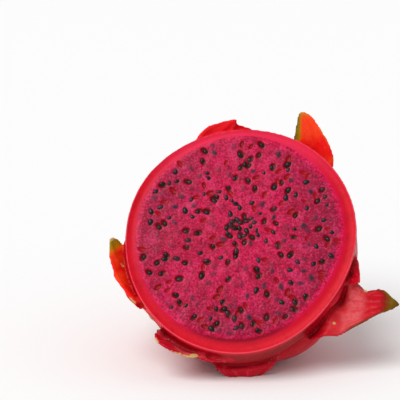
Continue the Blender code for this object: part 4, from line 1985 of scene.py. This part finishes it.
    def build(self) -> Object:
        """Makes the flesh.

        Returns:
            The finished piece.
        """
        out, azimuth = self.disc()
        edge = self.form.inner_radius(azimuth) * math.cos(self.form.face_latitude()) + self.tuck
        top = about_axis(out * edge, azimuth, np.zeros_like(out)).reshape(-1, 3)
        out, azimuth, edge = out.ravel(), azimuth.ravel(), edge.ravel()
        inside = (1.0 - out) * edge
        socket, ghost, dip = self.marks(top)
        top[:, 2] = self.relief(top, inside, dip)
        mesh = self.closed(top, azimuth)
        shown = smoothstep(inside, *self.grain_start)
        values = {"socket": socket * shown, "ghost": ghost * shown}
        values.update(self.shades(top, azimuth, out * edge, inside))
        hidden = np.zeros(len(mesh.vertices) - len(top))
        for name, row in values.items():
            store(mesh, name, np.concatenate([row, hidden]))
        mesh.transform(self.place)
        dress(mesh, self.finish.make(), self.sharp_degrees)
        return place_piece("flesh_pulp", mesh, Slot.FLESH, "flesh")


class GeometryTree(NodeTree):
    """A Geometry Nodes tree with named inputs."""

    def __init__(self, name: str, inputs: Sequence[str]) -> None:
        """Starts a tree.

        Args:
            name: its name.
            inputs: its inputs besides Geometry, each a number.
        """
        super().__init__(bpy.data.node_groups.new(name, "GeometryNodeTree"))
        sockets = self.tree.interface
        sockets.new_socket("Geometry", in_out="INPUT", socket_type="NodeSocketGeometry")
        for label in inputs:
            sockets.new_socket(label, in_out="INPUT", socket_type="NodeSocketFloat")
        sockets.new_socket("Geometry", in_out="OUTPUT", socket_type="NodeSocketGeometry")
        self.start = self.add("NodeGroupInput")
        self.end = self.add("NodeGroupOutput")

    def output(self, kind: str, values: Mapping[int | str, Any] | None = None) -> Socket:
        """Adds a node without settings and gives its first output."""
        return self.add(kind, None, values).outputs[0]

    def math(self, operation: str, first: Any, second: Any) -> Socket:
        """Adds a Math node and gives its result."""
        return self.add("ShaderNodeMath", {"operation": operation}, {0: first, 1: second}).outputs[0]

    def identifier(self, label: str) -> str:
        """The identifier of a named input."""
        return next(
            item.identifier
            for item in self.tree.interface.items_tree
            if item.name == label and item.in_out == "INPUT"
        )


@dataclass
class Seeds:
    """The black seeds that lie in the cut face, each a small tapered bean set by Geometry Nodes."""

    form: FruitForm
    spots: Sequence[SeedSpot]
    place: Matrix
    finish: SeedFinish
    length: float = 0.0031
    width: float = 0.0021
    height: float = 0.0013
    sink: float = 0.00030
    sink_variation: float = 0.00022
    size_gain: float = 1.04
    size_variation: float = 0.12
    taper: float = 0.38
    tilt: float = 0.30
    segments: int = 8
    rings: int = 6
    seed: int = 4

    def tree(self, material: bpy.types.Material) -> GeometryTree:
        """Builds the tree that sets a seed on each point.

        Args:
            material: the seeds' finish.

        Returns:
            The tree.
        """
        names = ("Length", "Width", "Height")
        made = GeometryTree("seeds_on_points", (*names, "Taper"))
        given = made.start.outputs
        ball = {"Segments": self.segments, "Rings": self.rings, "Radius": 1.0}
        position = made.output("GeometryNodeInputPosition")
        x, y, z = made.add("ShaderNodeSeparateXYZ", None, {0: position}).outputs
        narrowed = made.math("SUBTRACT", 1.0, made.math("MULTIPLY", x, given["Taper"]))
        parts = (x, made.math("MULTIPLY", y, narrowed), z)
        shaped = {
            index: made.math("MULTIPLY", part, made.math("MULTIPLY", given[name], 0.5))
            for index, (part, name) in enumerate(zip(parts, names))
        }
        bean = made.output("GeometryNodeSetPosition", {
            "Geometry": made.output("GeometryNodeMeshUVSphere", ball),
            "Position": made.output("ShaderNodeCombineXYZ", shaped),
        })
        heading, size = (
            made.add("GeometryNodeInputNamedAttribute", {"data_type": "FLOAT"}, {"Name": name}).outputs[0]
            for name in ("heading", "size")
        )
        tilts = {2: -self.tilt, 3: self.tilt, "Seed": self.seed}
        tilt = made.add("FunctionNodeRandomValue", {"data_type": "FLOAT"}, tilts)
        placed = made.output("GeometryNodeInstanceOnPoints", {
            "Points": given["Geometry"],
            "Instance": made.output("GeometryNodeSetShadeSmooth", {"Geometry": bean}),
            "Rotation": made.output("ShaderNodeCombineXYZ", {1: tilt.outputs[1], 2: heading}),
            "Scale": size,
        })
        real = made.output("GeometryNodeRealizeInstances", {0: placed})
        dressed = made.output("GeometryNodeSetMaterial", {"Geometry": real, "Material": material})
        made.tree.links.new(dressed, made.end.inputs[0])
        return made

    def build(self) -> Object:
        """Makes the seeds.

        Returns:
            The finished piece.
        """
        shown = [spot for spot in self.spots if spot.kind is SeedKind.BLACK]
        flat = np.array([(*spot.middle, 0.0) for spot in shown])
        lean = np.array([spot.lean for spot in shown])
        deeper = self.sink_variation * (0.5 + 0.5 * np.sin(3.0 * lean))
        flat[:, 2] = self.form.cut_height(flat) - self.sink - deeper
        points = bpy.data.meshes.new("seed_points")
        points.from_pydata([tuple(row) for row in flat], [], [])
        store(points, "heading", np.array([spot.heading for spot in shown]))
        varied = self.size_gain - self.size_variation * (1.0 + np.sin(5.0 * lean))
        store(points, "size", np.array([spot.size for spot in shown]) * varied)
        source = linked_object("seed_source", points)
        tree = self.tree(self.finish.make())
        modifier = source.modifiers.new("seeds", "NODES")
        modifier.node_group = tree.tree
        sizes = {"Length": self.length, "Width": self.width, "Height": self.height, "Taper": self.taper}
        for label, value in sizes.items():
            modifier[tree.identifier(label)] = value
        mesh = evaluated_mesh(source)
        bpy.data.objects.remove(source)
        mesh.name = "seeds"
        mesh.transform(self.place)
        return place_piece("seeds", mesh, Slot.FLESH)


@dataclass
class StemStub:
    """The dry, woody stub of the stem in its socket."""

    form: FruitForm
    place: Matrix
    finish: StubFinish
    radius: float = 0.0046
    tip_radius: float = 0.0036
    length: float = 0.0100
    socket_depth: float = 0.0030
    segments: int = 72
    rings: int = 40
    sharp_degrees: float = 50.0
    ridges: int = 11
    ridge: float = 0.00022
    # How much it narrows at its end, how its end rounds off and frays, and the fall of its top, ring by ring
    narrowing: float = 0.12
    narrow_span: Span = (0.93, 1.0)
    end_span: Span = (0.8, 1.0)
    rounding: float = 0.0005
    fray: float = 0.0004
    top_rings: tuple[Span, ...] = ((0.75, 0.0003), (0.4, 0.0007))
    top_drop: float = 0.0014

    def build(self) -> Object:
        """Makes the stub.

        Returns:
            The finished piece.
        """
        shares = np.linspace(0.0, 1.0, self.rings)
        share, angle = np.meshgrid(shares, directions(self.segments), indexing="ij")
        radius = self.radius + (self.tip_radius - self.radius) * share
        radius = radius - self.ridge * (1.0 + np.cos(self.ridges * angle + 2.0 * share))
        radius = radius * (1.0 - self.narrowing * smoothstep(share, *self.narrow_span))
        start = self.form.stem_depth - self.socket_depth
        at_end = smoothstep(share, *self.end_span)
        ragged = self.fray * np.sin(5.0 * angle) * np.sin(3.0 * angle + 1.0) * at_end
        depth = start + self.length * share - self.rounding * at_end + ragged
        rings = about_axis(radius, angle, depth)
        tops = [rings[-1] * (inset, inset, 1.0) + (0.0, 0.0, drop) for inset, drop in self.top_rings]
        rings = np.concatenate([rings, np.stack(tops)])
        end = np.array([0.0, 0.0, -(start + self.length - self.top_drop)])
        mesh = closed_grid("stub_wood", rings, np.array([0.0, 0.0, -start]), end)
        mesh.transform(self.place)
        dress(mesh, self.finish.make(), self.sharp_degrees)
        return place_piece("stub_wood", mesh, Slot.STEM, "stem_stub")


# The stage


@dataclass
class Stage:
    """The plain pale floor, the soft light and the camera."""

    place: Matrix
    floor_size: float = 8.0
    floor_colour: Colour = (0.92, 0.92, 0.92)
    world_strength: float = 0.55
    sun_strength: float = 2.1
    sun_angle: float = math.radians(38.0)
    sun_place: tuple[float, float, float] = (-0.42, -0.50, 0.85)
    distance: float = 0.55
    elevation: float = math.radians(15.0)
    metres_per_pixel: float = 0.000393
    picture_pixels: int = 400
    sensor: float = 36.0
    clip_start: float = 0.01
    clip_end: float = 20.0
    # Where the middle of the cut face shows, in pixels right of and below the middle of the picture
    face_right: float = 40.6
    face_below: float = 37.7

    def floor(self) -> None:
        """Lays the floor."""
        looks = Looks("pale_floor")
        looks.set(Base_Color=self.floor_colour, Roughness=0.9)
        half = self.floor_size / 2
        corners = [(-half, -half, 0.0), (half, -half, 0.0), (half, half, 0.0), (-half, half, 0.0)]
        mesh = bpy.data.meshes.new("floor")
        mesh.from_pydata(corners, [], [(0, 1, 2, 3)])
        mesh.materials.append(looks.material)
        linked_object("floor", mesh)

    def light(self) -> None:
        """Adds the even white surround and the soft main light above the left shoulder of the camera."""
        world = bpy.data.worlds.new("studio")
        world.use_nodes = True
        background = world.node_tree.nodes["Background"]
        background.inputs[0].default_value = (1.0, 1.0, 1.0, 1.0)
        background.inputs[1].default_value = self.world_strength
        bpy.context.scene.world = world
        data = bpy.data.lights.new("main_light", "SUN")
        data.energy = self.sun_strength
        data.angle = self.sun_angle
        lamp = linked_object("main_light", data)
        lamp.rotation_euler = Vector(self.sun_place).to_track_quat("Z", "Y").to_euler()

    def camera(self) -> None:
        """Sets up the camera at the photograph's angle."""
        sine, cosine = math.sin(self.elevation), math.cos(self.elevation)
        back, up = Vector((0.0, -cosine, sine)), Vector((0.0, sine, cosine))
        right = Vector((1.0, 0.0, 0.0))
        aside = right * (self.face_right * self.metres_per_pixel)
        above = up * (self.face_below * self.metres_per_pixel)
        aim = self.place.translation - aside + above
        data = bpy.data.cameras.new("camera")
        data.sensor_width = self.sensor
        data.lens = self.sensor * self.distance / (self.picture_pixels * self.metres_per_pixel)
        data.clip_start = self.clip_start
        data.clip_end = self.clip_end
        camera = linked_object("camera", data)
        camera.location = aim + back * self.distance
        camera.rotation_euler = (-back).to_track_quat("-Z", "Y").to_euler()
        bpy.context.scene.camera = camera

    def build(self) -> None:
        """Sets the stage."""
        self.floor()
        self.light()
        self.camera()
        bpy.context.scene.view_settings.view_transform = "Standard"


def main() -> None:
    """Sets the stage, then builds the half fruit piece by piece."""
    form = FruitForm()
    place = form.resting_place()
    Stage(place).build()
    log.info("stage set")
    Peel(form, BladeForm(form), place, SkinFinish()).build()
    spots = SeedField(form).spots()
    Flesh(form, spots, place, FleshFinish()).build()
    Seeds(form, spots, place, SeedFinish()).build()
    StemStub(form, place, StubFinish()).build()


if __name__ == "__main__":
    logging.basicConfig(level=logging.INFO, format="%(message)s")
    main()
